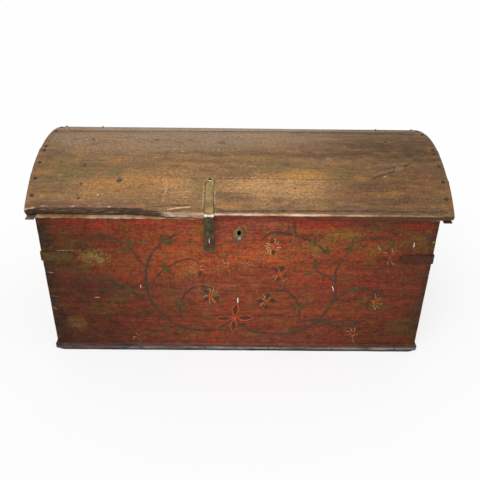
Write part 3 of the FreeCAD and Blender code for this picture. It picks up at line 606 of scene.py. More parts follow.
# Ends: scuffs in the paint, end grain of the pins, where bare wood starts inside, cover of the pins' paint
SCUFFS = ((9, 9, 22), 5.0, 0.65, (4, 1, 6))
END_GRAIN = ((360, 30, 360), 4.0, 0.6)
END_GRAIN_DARK = tint(44, 34, 28)
END_GRAIN_LIGHT = tint(78, 56, 42)
BARE_INSIDE = (0.0008, 0.0026)
PIN_EDGE = (BACK_FACE - 0.004, BACK_FACE - 0.001)
PIN_PAINT = 0.6


def end_board_material():
    """The front's red paint on the ends, dark end grain where the pins show, bare inside."""
    shader = Shader("end_board_paint")
    along = shader.turned("YXZ")
    colour, roughness, height = old_surface(shader, along, END_LOOK)
    scuffed = shader.cloud(along, *SCUFFS)
    colour = shader.mix(shader.step(scuffed, 0.58, 0.72, 0.0, 0.75), colour, AGED_PINE)
    bare, _, _ = bare_boards(shader, along)
    colour = shader.mix(shader.step(to_box_end(shader), *BARE_INSIDE), colour, bare)
    y = shader.part(shader.place, "Y")
    pin = shader.step(shader.calc("ABSOLUTE", y), *PIN_EDGE)
    fine = shader.cloud(shader.place, *END_GRAIN)
    end_grain = shader.mix(shader.step(fine, 0.3, 0.7), END_GRAIN_DARK, END_GRAIN_LIGHT)
    painted, _, _ = old_surface(shader, shader.place, PANEL_LOOK)
    at_front = shader.step(y, 0.01, -0.01, 0.0, PIN_PAINT)
    colour = shader.mix(pin, colour, shader.mix(at_front, end_grain, painted))
    return shader.finish(colour, roughness, height, PAINT_BUMP)


BACK_LIGHT = tint(140, 110, 80)
BACK_DARK = tint(98, 76, 56)


def back_board_material():
    """Unpainted weathered planks at the back and below."""
    shader = Shader("back_board_wood")
    colour, roughness, height = bare_boards(shader, shader.place, BACK_LIGHT, BACK_DARK)
    colour = painted_over_ends(shader, colour)
    return shader.finish(colour, roughness, height, WOOD_BUMP, BACK_SHINE)


def till_material():
    """Bare planed pine of the till, with the grain running to the back."""
    shader = Shader("till_wood")
    colour, roughness, height = bare_boards(shader, shader.turned("YXZ"))
    return shader.finish(colour, roughness, height, TILL_BUMP, TILL_SHINE)


# Stains on the lid: pixel, half sizes in pixels, colour, strength
LID_STAINS = (
    ((140, 186), (66, 18), TAN, 0.65),
    ((100, 186), (34, 8), AMBER, 0.3),
    ((132, 178), (40, 7), AMBER, 0.25),
    ((185, 186), (26, 16), GOLD, 0.3),
    ((285, 187), (72, 15), GOLD, 0.55),
    ((302, 175), (46, 6), AMBER, 0.55),
    ((250, 184), (34, 9), GOLD, 0.35),
    ((236, 199), (26, 6), PLUM, 0.5),
    ((62, 166), (18, 9), TAN, 0.35),
    ((66, 172), (24, 18), LID_GREEN, 0.6),
    ((90, 165), (14, 12), LID_GREEN, 0.55),
    ((120, 196), (40, 8), LID_BROWN, 0.6),
    ((115, 171), (12, 7), LID_GREEN, 0.8),
    ((196, 186), (9, 16), LID_GREEN, 0.45),
    ((285, 166), (48, 5), LID_GREEN, 0.45),
    ((343, 175), (18, 11), LID_GREEN, 0.6),
    ((357, 182), (13, 5), LID_GREEN, 0.5),
    ((400, 184), (14, 8), LID_GREEN, 0.5),
    ((327, 205), (18, 5), LID_GREEN, 0.5),
    ((368, 205), (20, 5), LID_GREEN, 0.5),
    ((438, 200), (12, 8), LID_GREEN, 0.5),
    ((210, 140), (180, 9), LID_GREY, 0.7),
    ((200, 134), (150, 4), LID_PALE_GREY, 0.35),
    ((190, 129), (300, 3), LID_PALE_GREY, 0.75),
    ((70, 138), (26, 8), LID_PALE_GREY, 0.35),
    ((150, 150), (130, 10), LID_GREY, 0.4),
    ((395, 186), (64, 22), LID_RED, 0.4),
    ((352, 194), (40, 8), LID_RED, 0.4),
    ((395, 196), (50, 14), PLUM, 0.3),
    ((340, 150), (60, 12), PLUM, 0.35),
    ((371, 138), (16, 4), LID_GREEN, 0.4),
    ((120, 154), (110, 3.5), LID_DARK, 0.45),
    ((215, 153), (60, 3), LID_DARK, 0.2),
    ((300, 154), (110, 4), LID_DARK, 0.4),
    ((400, 147), (90, 13), LID_DARK, 0.5),
    ((428, 157), (24, 9), LID_DARK, 0.6),
    ((372, 187), (30, 6), LID_BROWN, 0.6),
    ((95, 204), (80, 5), PLUM, 0.65),
    ((330, 208), (120, 4), PLUM, 0.5),
)


# The lid's old pine under wax, in the same terms as the front's paint
LID_LOOK = {
    "noises": {
        **wood_noises(3.0, 300.0),
        "worn": ((26, 60, 60), 5.0, 0.65, (3, 1, 2)),
        "mottled": ((125, 170, 170), 5.0, 0.74, (6, 2, 9)),
        "green": ((16, 34, 34), 5.0, 0.65, (2, 11, 3)),
        "plum": ((13, 48, 48), 5.0, 0.65, (9, 2, 12)),
        "amber": ((8, 30, 30), 5.0, 0.65, (5, 7, 1)),
        "pores": ((70, 900, 900), 2.0, 0.5, (4, 4, 4)),
        "specks": ((260, 330, 330), 2.0, 0.5, (7, 3, 1)),
    },
    "ground": LID_BROWN,
    "grain": (("broad", 0.35, 0.68, 1.0, LID_LIGHT),),
    "warps": ((14.0, 0.06), (60.0, 0.016)),
    "ragged": "worn",
    "stains": placed_stains(LID_STAINS, lid_spot, lambda x, s: (x, s, 0)),
    "grime": (),
    "coats": (
        ("green", 0.52, 0.7, 0.5, LID_GREEN), ("plum", 0.52, 0.7, 0.5, PLUM),
        ("amber", 0.52, 0.7, 0.5, AMBER), ("worn", 0.53, 0.68, 0.45, LID_DARK),
        ("worn", 0.46, 0.33, 0.2, GOLD),
    ),
    "tones": (("mottled", 0.36, 0.64, 0.76, 1.22), ("fine", 0.36, 0.64, 0.89, 1.1)),
    "flecks": (("pores", 0.58, 0.7, 0.42, LID_DARK), ("specks", 0.65, 0.75, 0.5, PALE_WOOD)),
    "broad_tones": (("X", 0.14, 0.42, 1.06, 0.72), ("X", -0.55, -0.38, 0.84, 1.0)),
    "roughness": (0.5, 0.7),
    "heights": (0.7, 0.5),
}

# Front edge of the lid: its worn red paint, the wood in the break (dark partly from its own weathered wood
# and partly as painted shade of the undercut face) and on the torn lip, the rubbed arris
EDGE_NOISES = {"rag": ((45, 240, 240), 4.0, 0.65, (2, 9, 4)), "worn": ((22, 90, 90), 4.0, 0.6, (6, 1, 4))}
EDGE_RED = (tint(80, 40, 32), tint(130, 52, 40), tint(76, 50, 36))
EDGE_PALE = (tint(176, 132, 88), tint(216, 196, 172), tint(158, 122, 84))
SPLIT_LIGHT = tint(128, 98, 70)
TORN_DARK = tint(132, 100, 78)
TORN_LIGHT = tint(206, 180, 156)
EDGE_RIGHT = (0.16, 0.44)
LIP_START = (TORN_START, TORN_START + 0.02)
LIP_RISE = (RIM + 0.003, RIM + 0.006)
LID_INSIDE = (LID_PLANK * 0.3, LID_PLANK * 0.6)
ZONE_RAG = 0.7


def lid_material():
    """Waxed outside, bare inside, red on the front edge, pale where it is worn or torn, and dark in the
    break, partly as painted shade.
    """
    shader = Shader("lid_plank_wood")
    grain = shader.attribute("grain").outputs["Vector"]
    colour, roughness, height = old_surface(shader, grain, LID_LOOK)
    bare, _, _ = bare_boards(shader, grain)
    colour = shader.mix(shader.step(shader.part(grain, "Z"), *LID_INSIDE), colour, bare)
    zones = shader.attribute("zones").outputs["Color"]
    clouds = shader.clouds(grain, EDGE_NOISES)
    x = shader.part(grain, "X")
    right = shader.step(x, *EDGE_RIGHT)
    edges = []
    for dark, light, at_right in (EDGE_RED, EDGE_PALE):
        paint = shader.coated(dark, clouds, (("worn", 0.35, 0.65, 1.0, light),))
        edges.append(shader.mix(right, paint, at_right))
    red, pale = edges
    # Break face in dark wood, partly painted shade of the undercut face; on the right of it the pale torn
    # lip, over a painted shadow line at its foot
    split = shader.coated(SPLIT_DARK, clouds, (("rag", 0.42, 0.7, 1.0, SPLIT_LIGHT),))
    torn = shader.coated(TORN_DARK, clouds, (("rag", 0.4, 0.6, 1.0, TORN_LIGHT),))
    above_lip = shader.step(shader.part(shader.place, "Z"), *LIP_RISE)
    split = shader.mix(shader.calc("MULTIPLY", shader.step(x, *LIP_START), above_lip), split, torn)
    rag = shader.calc("SUBTRACT", clouds["rag"], 0.5)
    for letter, paint, start, end in (("Y", red, 0.2, 0.6), ("Z", split, 0.3, 0.7), ("X", pale, 0.35, 0.75)):
        amount = shader.calc("MULTIPLY_ADD", rag, ZONE_RAG, shader.part(zones, letter))
        colour = shader.mix(shader.step(amount, start, end), colour, paint)
    return shader.finish(colour, roughness, height, WOOD_BUMP)


# Wear of the ornament's paint: its noise, how far it eats in, how thickly the paint covers
ORNAMENT_WEAR = ((170, 170, 300), 5.0, 0.7, (9, 9, 9))
ORNAMENT_EATEN = -1.2
ORNAMENT_COVER = 1.45
ORNAMENT_BUMP = 0.0006


def paint_material(name, look):
    """Ornament paint that thins out and wears into the surface below it."""
    shader = Shader(name)
    spot = shader.attribute("grain").outputs["Vector"] if look is LID_LOOK else shader.place
    below, roughness, height = old_surface(shader, spot, look)
    paint = shader.attribute("paint")
    wear = shader.cloud(spot, *ORNAMENT_WEAR)
    cover = shader.calc("MULTIPLY", paint.outputs["Alpha"], ORNAMENT_COVER)
    amount = shader.calc("MULTIPLY_ADD", wear, ORNAMENT_EATEN, cover)
    shaded = shader.shade(paint.outputs["Color"], shader.step(wear, 0.35, 0.65, 1.2, 0.8))
    colour = shader.mix(shader.step(amount, -0.2, 0.7, 0.0, 0.9), below, shaded)
    return shader.finish(colour, roughness, height, ORNAMENT_BUMP)


# Irons: ground colour, patches, rubbed spots and how bright those are
LEFT_STRAP = (tint(86, 70, 32), tint(62, 46, 28), RUST, 0.5)
RIGHT_STRAP = (tint(54, 36, 24), tint(40, 28, 22), tint(70, 50, 34), 0.3)
ESCUTCHEON = (tint(126, 102, 54), tint(86, 66, 40), tint(138, 114, 62), 0.3)
HASP_LEAF = (IRON_GREEN, tint(52, 46, 32), tint(160, 144, 100), 0.35)
HASP_LID_LEAF = (IRON_BRONZE, tint(124, 100, 60), tint(160, 144, 100), 0.35)
TOP_NAIL = (tint(36, 30, 24), tint(26, 22, 20), tint(96, 84, 70), 0.3)
BRONZE_NAIL = (IRON_BRONZE, tint(108, 94, 54), IRON_BRIGHT, 0.2)
# Near-white iron of the pin and staple: a painted highlight standing in for their glints
HIGHLIGHT_IRON = (tint(196, 190, 178), tint(150, 144, 132), WHITE_MARK_AND_HIGHLIGHT, 0.8)
CLINCHED_NAIL = (tint(84, 66, 52), tint(104, 80, 58), LID_BROWN, 0.3)
LID_NAIL = (tint(40, 32, 26), tint(56, 44, 34), RUST, 0.3)
DARK_IRON = (IRON_DARK, tint(82, 66, 50), IRON_BRIGHT, 0.25)
IRON_BUMP = 0.0012
THIN_IRON_BUMP = 0.001
# How metallic bare iron is, and iron under old wax
IRON_METAL = 0.4
WAXED_METAL = 0.1
IRON_NOISES = {
    "broad": ((60, 60, 60), 4.0, 0.6),
    "fine": ((420, 420, 420), 4.0, 0.7, (3, 3, 3)),
    "rubbed": ((150, 150, 90), 3.0, 0.6, (6, 2, 1)),
}


def old_iron(shader, base, patches, bright, shine):
    """Colour, roughness and height of wrought iron: a patina, rust in patches and rubbed spots."""
    clouds = shader.clouds(shader.place, IRON_NOISES)
    coats = [("broad", 0.4, 0.64, 1.0, patches), ("fine", 0.54, 0.72, 0.6, RUST)]
    coats.append(("rubbed", 0.6, 0.72, shine, bright))
    colour = shader.coated(base, clouds, coats)
    roughness = shader.step(clouds["broad"], 0.3, 0.7, 0.42, 0.68)
    return colour, roughness, shader.calc("MULTIPLY_ADD", clouds["fine"], 0.4, clouds["broad"])


def iron_material(name, iron, metal=IRON_METAL):
    """Plain old iron."""
    shader = Shader(name)
    colour, roughness, height = old_iron(shader, *iron)
    shader.surface.inputs["Metallic"].default_value = metal
    return shader.finish(colour, roughness, height, IRON_BUMP, IRON_SHINE)


# Share of the front's paint that still covers the corner straps
STRAP_PAINT = 0.3


def strap_material():
    """Corner straps that were painted over with the front, darker on the right."""
    shader = Shader("corner_strap_iron")
    left, roughness, height = old_iron(shader, *LEFT_STRAP)
    right, _, _ = old_iron(shader, *RIGHT_STRAP)
    side = shader.step(shader.part(shader.place, "X"), *MIDDLE)
    painted, _, _ = old_surface(shader, shader.place, PANEL_LOOK)
    colour = shader.mix(STRAP_PAINT, shader.mix(side, left, right), painted)
    return shader.finish(colour, roughness, height, THIN_IRON_BUMP, STRAP_SHINE)


# Escutcheon: ragged edge of its coats, and the coats at its points, on its right side and at its top
ESCUTCHEON_RAG = ((160, 160, 160), 4.0, 0.6, (4, 8, 2))
POINTS_RAG = 0.014
RIGHT_RAG = 0.010
ESCUTCHEON_COATS = (
    ("away", 0.021, 0.028, 1.0, tint(100, 70, 56)),
    ("right", 0.008, 0.018, 0.75, tint(92, 54, 36)),
    ("up", 0.010, 0.016, 0.7, tint(124, 106, 86)),
)


def escutcheon_material():
    """Brassy round the keyhole, brown at the points and red paint creeping over the edges."""
    shader = Shader("escutcheon_iron")
    colour, roughness, height = old_iron(shader, *ESCUTCHEON)
    ragged = shader.cloud(shader.place, *ESCUTCHEON_RAG)
    offset = shader.vector("SUBTRACT", shader.place, keyhole_centre())
    values = {
        "away": shader.calc("MULTIPLY_ADD", ragged, POINTS_RAG, shader.vector("LENGTH", offset)),
        "right": shader.calc("MULTIPLY_ADD", ragged, RIGHT_RAG, shader.part(offset, "X")),
        "up": shader.part(offset, "Z"),
    }
    colour = shader.coated(colour, values, ESCUTCHEON_COATS)
    return shader.finish(colour, roughness, height, THIN_IRON_BUMP, ESCUTCHEON_SHINE)


# Hasp: dark sides as shares of half its width, and the band of painted highlight along the knuckles about the
# pin
HASP_SIDE_SHARES = (0.72, 0.95)
KNUCKLE_TOP = (0.0050, 0.0044)
KNUCKLE_FOOT = (0.0014, 0.0020)
KNUCKLE_BACK = (0.004, 0.003)


def hasp_material(name, node, iron):
    """Hasp leaf: dark along both sides, with a painted highlight along the knuckles."""
    shader = Shader(name)
    colour, roughness, height = old_iron(shader, *iron)
    x, y, z = (shader.part(shader.place, letter) for letter in "XYZ")
    low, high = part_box(node)
    sideways = shader.calc("ABSOLUTE", shader.calc("SUBTRACT", x, (low.x + high.x) / 2))
    start, end = (share * (high.x - low.x) / 2 for share in HASP_SIDE_SHARES)
    colour = shader.mix(shader.step(sideways, start, end, 0.0, 0.85), colour, IRON_DARK)
    pin_low, pin_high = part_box("hasp_pin")
    up = shader.calc("SUBTRACT", z, (pin_low.z + pin_high.z) / 2)
    back = shader.calc("SUBTRACT", y, (pin_low.y + pin_high.y) / 2)
    knuckle_highlight = shader.calc("MULTIPLY", shader.step(up, *KNUCKLE_TOP), shader.step(up, *KNUCKLE_FOOT))
    knuckle_highlight = shader.calc("MULTIPLY", knuckle_highlight, shader.step(back, *KNUCKLE_BACK))
    # Painted highlight along the knuckles
    colour = shader.mix(knuckle_highlight, colour, WHITE_MARK_AND_HIGHLIGHT)
    return shader.finish(colour, roughness, height, IRON_BUMP, HASP_SHINE)


# Top nail of the hasp: how far its foot lies below the top of all the nails, and the heights over its foot
# where the painted highlight on its underside ends and where the bronze of the lower nails gives way to it
TOP_HASP_NAIL = 0.012
TOP_NAIL_HIGHLIGHT = (0.0088, 0.0080)
TOP_NAIL_START = (-0.002, 0.002)


def hasp_nail_material():
    """Hasp nails: the top one dark with a painted highlight on its underside, those below bronze like the
    leaf.
    """
    shader = Shader("hasp_nail_iron")
    dark, roughness, height = old_iron(shader, *TOP_NAIL)
    bronze, _, _ = old_iron(shader, *BRONZE_NAIL)
    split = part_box("hasp_nails")[1].z - TOP_HASP_NAIL
    up = shader.calc("SUBTRACT", shader.part(shader.place, "Z"), split)
    # Painted highlight on the underside of the top nail
    top = shader.mix(shader.step(up, *TOP_NAIL_HIGHLIGHT), dark, WHITE_MARK_AND_HIGHLIGHT)
    colour = shader.mix(shader.step(up, *TOP_NAIL_START), bronze, top)
    return shader.finish(colour, roughness, height, THIN_IRON_BUMP, NAIL_SHINE)


# Moulding: painted highlight along its crest between two heights, brighter to the right, and the front's
# paint on its top edge
MOULDING_NOISES = {
    **wood_noises(14.0, 220.0),
    "rubbed": ((10, 10, 60), 4.0, 0.65, (2, 8, 5)),
    "red": ((9, 9, 60), 3.0, 0.6, (1, 3, 3)),
}
CREST_HIGHLIGHT_GREY = tint(150, 140, 136)
MOULDING_RED = tint(98, 50, 42)
CREST_FOOT = (0.006, 0.009)
CREST_TOP = (0.017, 0.0125)
CREST_ALONG = (-0.46, -0.22, 0.2, 1.0)
TOP_RAG = 0.004
TOP_DROP = (-0.5, 0.0, 0.0045, 0.0018)
TOP_PAINT = (0.0205, 0.0225, 0.0, 0.9)


def moulding_material():
    """Dark paint rubbed to a greyish brown on the base moulding, with a painted highlight along its crest."""
    shader = Shader("moulding_paint")
    clouds = shader.clouds(shader.place, MOULDING_NOISES)
    x, up = shader.part(shader.place, "X"), shader.part(shader.place, "Z")
    colour = shader.coated(MOULDING_DARK, clouds, (("broad", 0.38, 0.62, 1.0, MOULDING_GREY),))
    # Painted highlight along the rounded crest, weaker towards the left end
    crest_highlight = shader.step(clouds["rubbed"], 0.36, 0.6, 0.1, 0.8)
    for value, steps in ((up, CREST_FOOT), (up, CREST_TOP), (x, CREST_ALONG)):
        crest_highlight = shader.calc("MULTIPLY", crest_highlight, shader.step(value, *steps))
    colour = shader.mix(crest_highlight, colour, CREST_HIGHLIGHT_GREY)
    colour = shader.coated(colour, clouds, (("red", 0.52, 0.64, 0.6, MOULDING_RED),))
    colour = shader.toned(colour, clouds, (("fine", 0.36, 0.64, 0.8, 1.15),))
    painted, _, _ = old_surface(shader, shader.place, PANEL_LOOK)
    top = shader.calc("MULTIPLY_ADD", clouds["rubbed"], TOP_RAG, up)
    top = shader.calc("SUBTRACT", top, shader.step(x, *TOP_DROP))
    colour = shader.mix(shader.step(top, *TOP_PAINT), colour, painted)
    return shader.finish(colour, shader.step(clouds["broad"], 0.3, 0.7, 0.5, 0.7), clouds["fine"], WOOD_BUMP)


LID_END_LEFT = (tint(146, 132, 120), tint(84, 70, 60))
LID_END_RIGHT = (tint(62, 43, 34), tint(80, 58, 46))


def lid_end_material():
    """End boards of the lid with their grain along the dome's chord, darker on the right."""
    shader = Shader("lid_end_wood")
    colour, roughness, height = bare_boards(shader, shader.turned("YXZ"), *LID_END_LEFT)
    dark = shader.mix(shader.step(height, 0.4, 0.62), *LID_END_RIGHT)
    colour = shader.mix(shader.step(shader.part(shader.place, "X"), *MIDDLE), colour, dark)
    return shader.finish(colour, roughness, height, PAINT_BUMP)


# Meshes
SHARP_EDGE = math.radians(42)


def face_outwards(mesh):
    """Turn the faces of a closed mesh to the outside."""
    work = bmesh.new()
    work.from_mesh(mesh)
    inside_out = work.calc_volume(signed=True) < 0
    work.free()
    if inside_out:
        mesh.flip_normals()


def new_piece(name, body, material, points, faces):
    """Closed mesh object that rides on a body."""
    mesh = bpy.data.meshes.new(name)
    mesh.from_pydata(points, [], faces)
    face_outwards(mesh)
    mesh.materials.append(material)
    mesh.shade_smooth()
    mesh.set_sharp_from_angle(angle=SHARP_EDGE)
    mesh.validate()
    piece = bpy.data.objects.new(name, mesh)
    bpy.context.scene.collection.objects.link(piece)
    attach(piece, body)
    return piece


def store(piece, name, kind, values):
    """Write one value for each vertex of a piece."""
    layer = piece.data.attributes.new(name, kind, "POINT")
    key = "color" if kind == "FLOAT_COLOR" else "vector"
    layer.data.foreach_set(key, [number for value in values for number in value])


def sweep_faces(rows, count, first=0):
    """Faces of a tube through rows of points, with a cap at both ends."""
    faces = []
    for row in range(rows - 1):
        for step in range(count):
            here = first + row * count + step
            after = first + row * count + (step + 1) % count
            faces.append((here, after, after + count, here + count))
    faces.append(tuple(first + step for step in reversed(range(count))))
    faces.append(tuple(first + (rows - 1) * count + step for step in range(count)))
    return faces


def smooth_noise(*where):
    """Noise from -1 to 1 at a place."""
    return noise.noise(Vector(where))


LID_HOLLOW = 0.00042


def along_lid(x, s):
    """Hollow of the worn planks below the true dome, never above it."""
    swell = smooth_noise(x * 4.1, s * 16.0, 2.0) + 0.5 * smooth_noise(x * 11.0, s * 45.0, 7.0)
    return LID_HOLLOW * (1 + swell)


def dome_yz(s, drop):
    """(y, z) at a distance from the crown along the dome and a drop below it."""
    angle = s / DOME_RADIUS
    return Vector((
        DOME_Y + (DOME_RADIUS - drop) * math.sin(angle),
        DOME_Z + (DOME_RADIUS - drop) * math.cos(angle),
    ))


def spaced(start, end, step):
    """Evenly spaced numbers from start to end, about a step apart."""
    count = max(1, round(abs(end - start) / step))
    return [start + (end - start) * number / count for number in range(count + 1)]


# Points of a plank's outline: near its arrises, and a step apart over the dome, the faces, the rim and inside
EDGE_PLACES = (0.0, 0.0006, 0.0015, 0.003, 0.005)
DOME_STEP = 0.007
FACE_STEP = 0.0025
RIM_STEP = 0.0035
INSIDE_STEP = 0.02
SEAM_SHARES = (0.1, 0.35, 0.65, 0.9)


def edged(start, end, step):
    """Numbers from start to end that crowd together at both ends."""
    toward = 1 if end > start else -1
    near = [start + toward * place for place in EDGE_PLACES]
    far = [end - toward * place for place in reversed(EDGE_PLACES)]
    return near + spaced(near[-1], far[0], step)[1:-1] + far


def plank_loop(first, last):
    """Outline of one lid plank in (y, z), from its front edge over the outside and back inside."""
    start = max(first, -DOME_REACH)
    end = min(last, DOME_REACH)
    inner = DOME_RADIUS - LID_PLANK
    loop = [dome_yz(s, 0) for s in edged(start, end, DOME_STEP)]
    foot = math.sqrt(inner ** 2 - (RIM - DOME_Z) ** 2)
    foot_angle = math.asin(foot / inner) * DOME_RADIUS
    if last >= DOME_REACH:
        face = dome_yz(DOME_REACH, 0)
        loop += [Vector((face.x, z)) for z in spaced(face.y, RIM, FACE_STEP)[1:]]
        loop += [Vector((y, RIM)) for y in spaced(face.x, DOME_Y + foot, RIM_STEP)[1:-1]]
    else:
        loop += [dome_yz(end, LID_PLANK * share) for share in SEAM_SHARES]
    back = foot_angle if last >= DOME_REACH else end
    front = -foot_angle if first <= -DOME_REACH else start
    loop += [dome_yz(s, LID_PLANK) for s in spaced(back, front, INSIDE_STEP)]
    if first <= -DOME_REACH:
        face = dome_yz(-DOME_REACH, 0)
        loop += [Vector((y, RIM)) for y in spaced(DOME_Y - foot, face.x, RIM_STEP)[1:]]
        loop += [Vector((face.x, z)) for z in spaced(RIM, face.y, FACE_STEP)[1:-1]]
    else:
        loop += [dome_yz(start, LID_PLANK * share) for share in reversed(SEAM_SHARES)]
    return loop


def rounded(loop, passes):
    """The loop with its corners worn round."""
    for _ in range(passes):
        loop = [
            point * 0.5 + (before + after) * 0.25
            for before, point, after in zip(loop[-1:] + loop[:-1], loop, loop[1:] + loop[:1])
        ]
    return loop


def drawn_in(loop, amount):
    """The loop moved inwards by an amount."""
    moved = []
    for before, point, after in zip(loop[-1:] + loop[:-1], loop, loop[1:] + loop[:1]):
        run = after - before
        inward = Vector((run.y, -run.x))
        if inward.length:
            point = point + inward.normalized() * amount
        moved.append(point)
    return moved


def table_value(table, place):
    """Straight-line value between the rows of a table."""
    for (x0, y0), (x1, y1) in zip(table, table[1:]):
        if x0 <= place <= x1:
            return y0 + (y1 - y0) * (place - x0) / (x1 - x0)
    return table[-1][1]


BREAK_FOOT = Vector((FRONT_FACE + BREAK_RIM_REACH, RIM))
BREAK_TOP = dome_yz(BREAK_CLIMB - DOME_REACH, 0)
BREAK_LEAN = (BREAK_TOP - BREAK_FOOT).normalized()
BREAK_OUT = Vector((-BREAK_LEAN.y, BREAK_LEAN.x))
# Splinters on the break: size, frequencies along and up it, place in the noise
SPLINTERS = ((0.0022, 9, 170, 1), (0.0011, 38, 330, 5))
# Chips in front of the break, at the left end and elsewhere: how often, how far they reach
END_CHIPS = (1.1, 0.009)
CHIPS = (0.35, 0.005)
RAW_EDGE = 0.0012


def broken_point(x, point):
    """The point held back behind the face of the break, how raw the wood is and how chipped."""
    if not BREAK_START < x < BREAK_END:
        return point, 0.0, 0.0
    share = table_value(BREAK_OUTLINE_SHARES, (x - BREAK_START) / (BREAK_END - BREAK_START))
    height = (point - BREAK_FOOT).dot(BREAK_LEAN)
    splinters = sum(size * smooth_noise(x * along, height * up, at) for size, along, up, at in SPLINTERS)
    limit = BREAK_DEPTH * (1 - share) + splinters
    proud = (point - BREAK_FOOT).dot(BREAK_OUT) - limit
    if proud <= 0:
        often, reach = END_CHIPS if x < CHIPPED_END else CHIPS
        chipped = max(0.0, 1 + proud / reach) * (often + smooth_noise(x * 31, height * 60, 2))
        return point, max(0.0, 1 + proud / RAW_EDGE), chipped
    return point - BREAK_OUT * proud, 1.0, 0.0


LID_STATION = 0.006
# How pale the front arris is rubbed along the lid: (x, amount)
ARRIS_RUB = ((-0.6, 1.0), (0.2, 1.0), (0.34, 0.85), (0.52, 0.7), (0.6, 0.5))
LID_END_ROUND = ((0.0, 0.0022), (0.0007, 0.0011), (0.0018, 0.0004), (0.0035, 0.0))

# Each plank: name, how far its left and right ends fall short of the lid's length
LID_PLANKS = (
    ("lid_front_plank", 0.002, 0.0),
    ("lid_front_upper_plank", 0.002, 0.002),
    ("lid_crown_plank", 0.0035, 0.002),
    ("lid_rear_upper_plank", 0.003, 0.003),
    ("lid_rear_plank", 0.002, 0.001),
)

# How far each seam gapes along the lid, from 0 (tight) to 1: (x, gape)
SEAM_GAPES = (
    ((-0.6, 0.05), (-0.12, 0.1), (-0.05, 0.8), (0.22, 0.9), (0.28, 0.3), (0.34, 0.06), (0.6, 0.1)),
    ((-0.6, 0.5), (-0.3, 0.12), (0.2, 0.08), (0.5, 0.2), (0.6, 0.3)),
    ((-0.6, 0.7), (-0.2, 0.45), (0.1, 0.8), (0.3, 0.5), (0.6, 0.7)),
    ((-0.6, 0.6), (0.6, 0.6)),
)


def lid_stations(left, right):
    """(x, drawn-in amount) along a plank, with rounded ends."""
    first, last = left - LID_END, LID_END - right
    near = [(first + place, amount) for place, amount in LID_END_ROUND]
    far = [(last - place, amount) for place, amount in reversed(LID_END_ROUND)]
    middle = [(x, 0.0) for x in spaced(near[-1][0], far[0][0], LID_STATION)[1:-1]]
    return near + middle + far


# Wear of the lid's lower front corner: its size, how uneven, how much more at the right end and from where,
# and how far it spreads inwards and up
CORNER_WEAR = 0.003
CORNER_UNEVEN = 0.001
CORNER_END_WEAR = 0.005
CORNER_END = (0.50, 0.067)
CORNER_INWARDS = 0.008
CORNER_UP = 0.010
CORNER_LIMIT = Vector((LID_FRONT + 0.012, RIM + LID_EDGE * 0.75))


def front_edge_wear(x, point):
    """The point of the lid's front edge, with the lower corner worn away, most at the right end."""
    if point.x > CORNER_LIMIT.x or point.y > CORNER_LIMIT.y:
        return point
    start, length = CORNER_END
    reach = CORNER_WEAR + CORNER_UNEVEN * smooth_noise(x * 8, 4, 4)
    reach += CORNER_END_WEAR * max(0.0, (x - start) / length)
    across = max(0.0, 1 - (point.x - LID_FRONT) / CORNER_INWARDS)
    down = max(0.0, 1 - (point.y - RIM) / CORNER_UP)
    return point + Vector((reach * down ** 2, reach * across ** 2))


# Zones of the front plank: outer part of the wood, spread of the rubbed arris, the red front edge
OUTSIDE = LID_PLANK * 0.3
ARRIS = Vector((LID_FRONT, RIM + LID_EDGE))
ARRIS_SPREAD = 0.0052
RED_EDGE = ARRIS + Vector((0.004, -0.002))


def lid_plank(number, edges, material):
    """One lid plank, worn, with its grain and zones stored for the material."""
    name, left, right = LID_PLANKS[number]
    sharp = plank_loop(edges[number], edges[number + 1])
    base = rounded(sharp, 2)
    gapes = [None] + list(SEAM_GAPES) + [None]
    points, grain, zones = [], [], []
    stations = lid_stations(left, right)
    for x, amount in stations:
        loop = []
        for tight, loose in zip(sharp, base):
            s = DOME_RADIUS * math.atan2(tight.x - DOME_Y, tight.y - DOME_Z)
            seam = number if s < (edges[number] + edges[number + 1]) / 2 else number + 1
            gape = 1.0 if gapes[seam] is None else table_value(gapes[seam], x)
            loop.append(tight + (loose - tight) * gape)
        for point in drawn_in(loop, amount):
            s = DOME_RADIUS * math.atan2(point.x - DOME_Y, point.y - DOME_Z)
            drop = DOME_RADIUS - math.hypot(point.x - DOME_Y, point.y - DOME_Z)
            if drop < OUTSIDE:
                outward = Vector((point.x - DOME_Y, point.y - DOME_Z)).normalized()
                point = point - outward * along_lid(x, s)
            point, raw, chipped = broken_point(x, front_edge_wear(x, point))
            rub = math.exp(-((point - ARRIS).length / ARRIS_SPREAD) ** 2)
            rub *= (0.8 + 0.4 * smooth_noise(x * 17, 3, 1)) * table_value(ARRIS_RUB, x)
            on_edge = x > HASP_LEFT and point.x < RED_EDGE.x and point.y < RED_EDGE.y
            points.append((x, point.x, point.y))
            grain.append((x, s, drop))
            zones.append((max(rub, chipped) * (1 - raw), float(on_edge) * (1 - raw), raw, 1.0))
    faces = sweep_faces(len(stations), len(sharp))
    piece = new_piece(name + "_wood", "lid", material, points, faces)
    store(piece, "grain", "FLOAT_VECTOR", grain)
    store(piece, "zones", "FLOAT_COLOR", zones)
    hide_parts(name)


def lid_planks():
    """The five planks of the dome."""
    material = lid_material()
    edges = [-DOME_REACH, LID_FRONT_PLANK_WIDTH - DOME_REACH]
    edges += [share * DOME_REACH for share in LID_SEAM_SHARES] + [DOME_REACH]
    for number in range(len(LID_PLANKS)):
        lid_plank(number, edges, material)


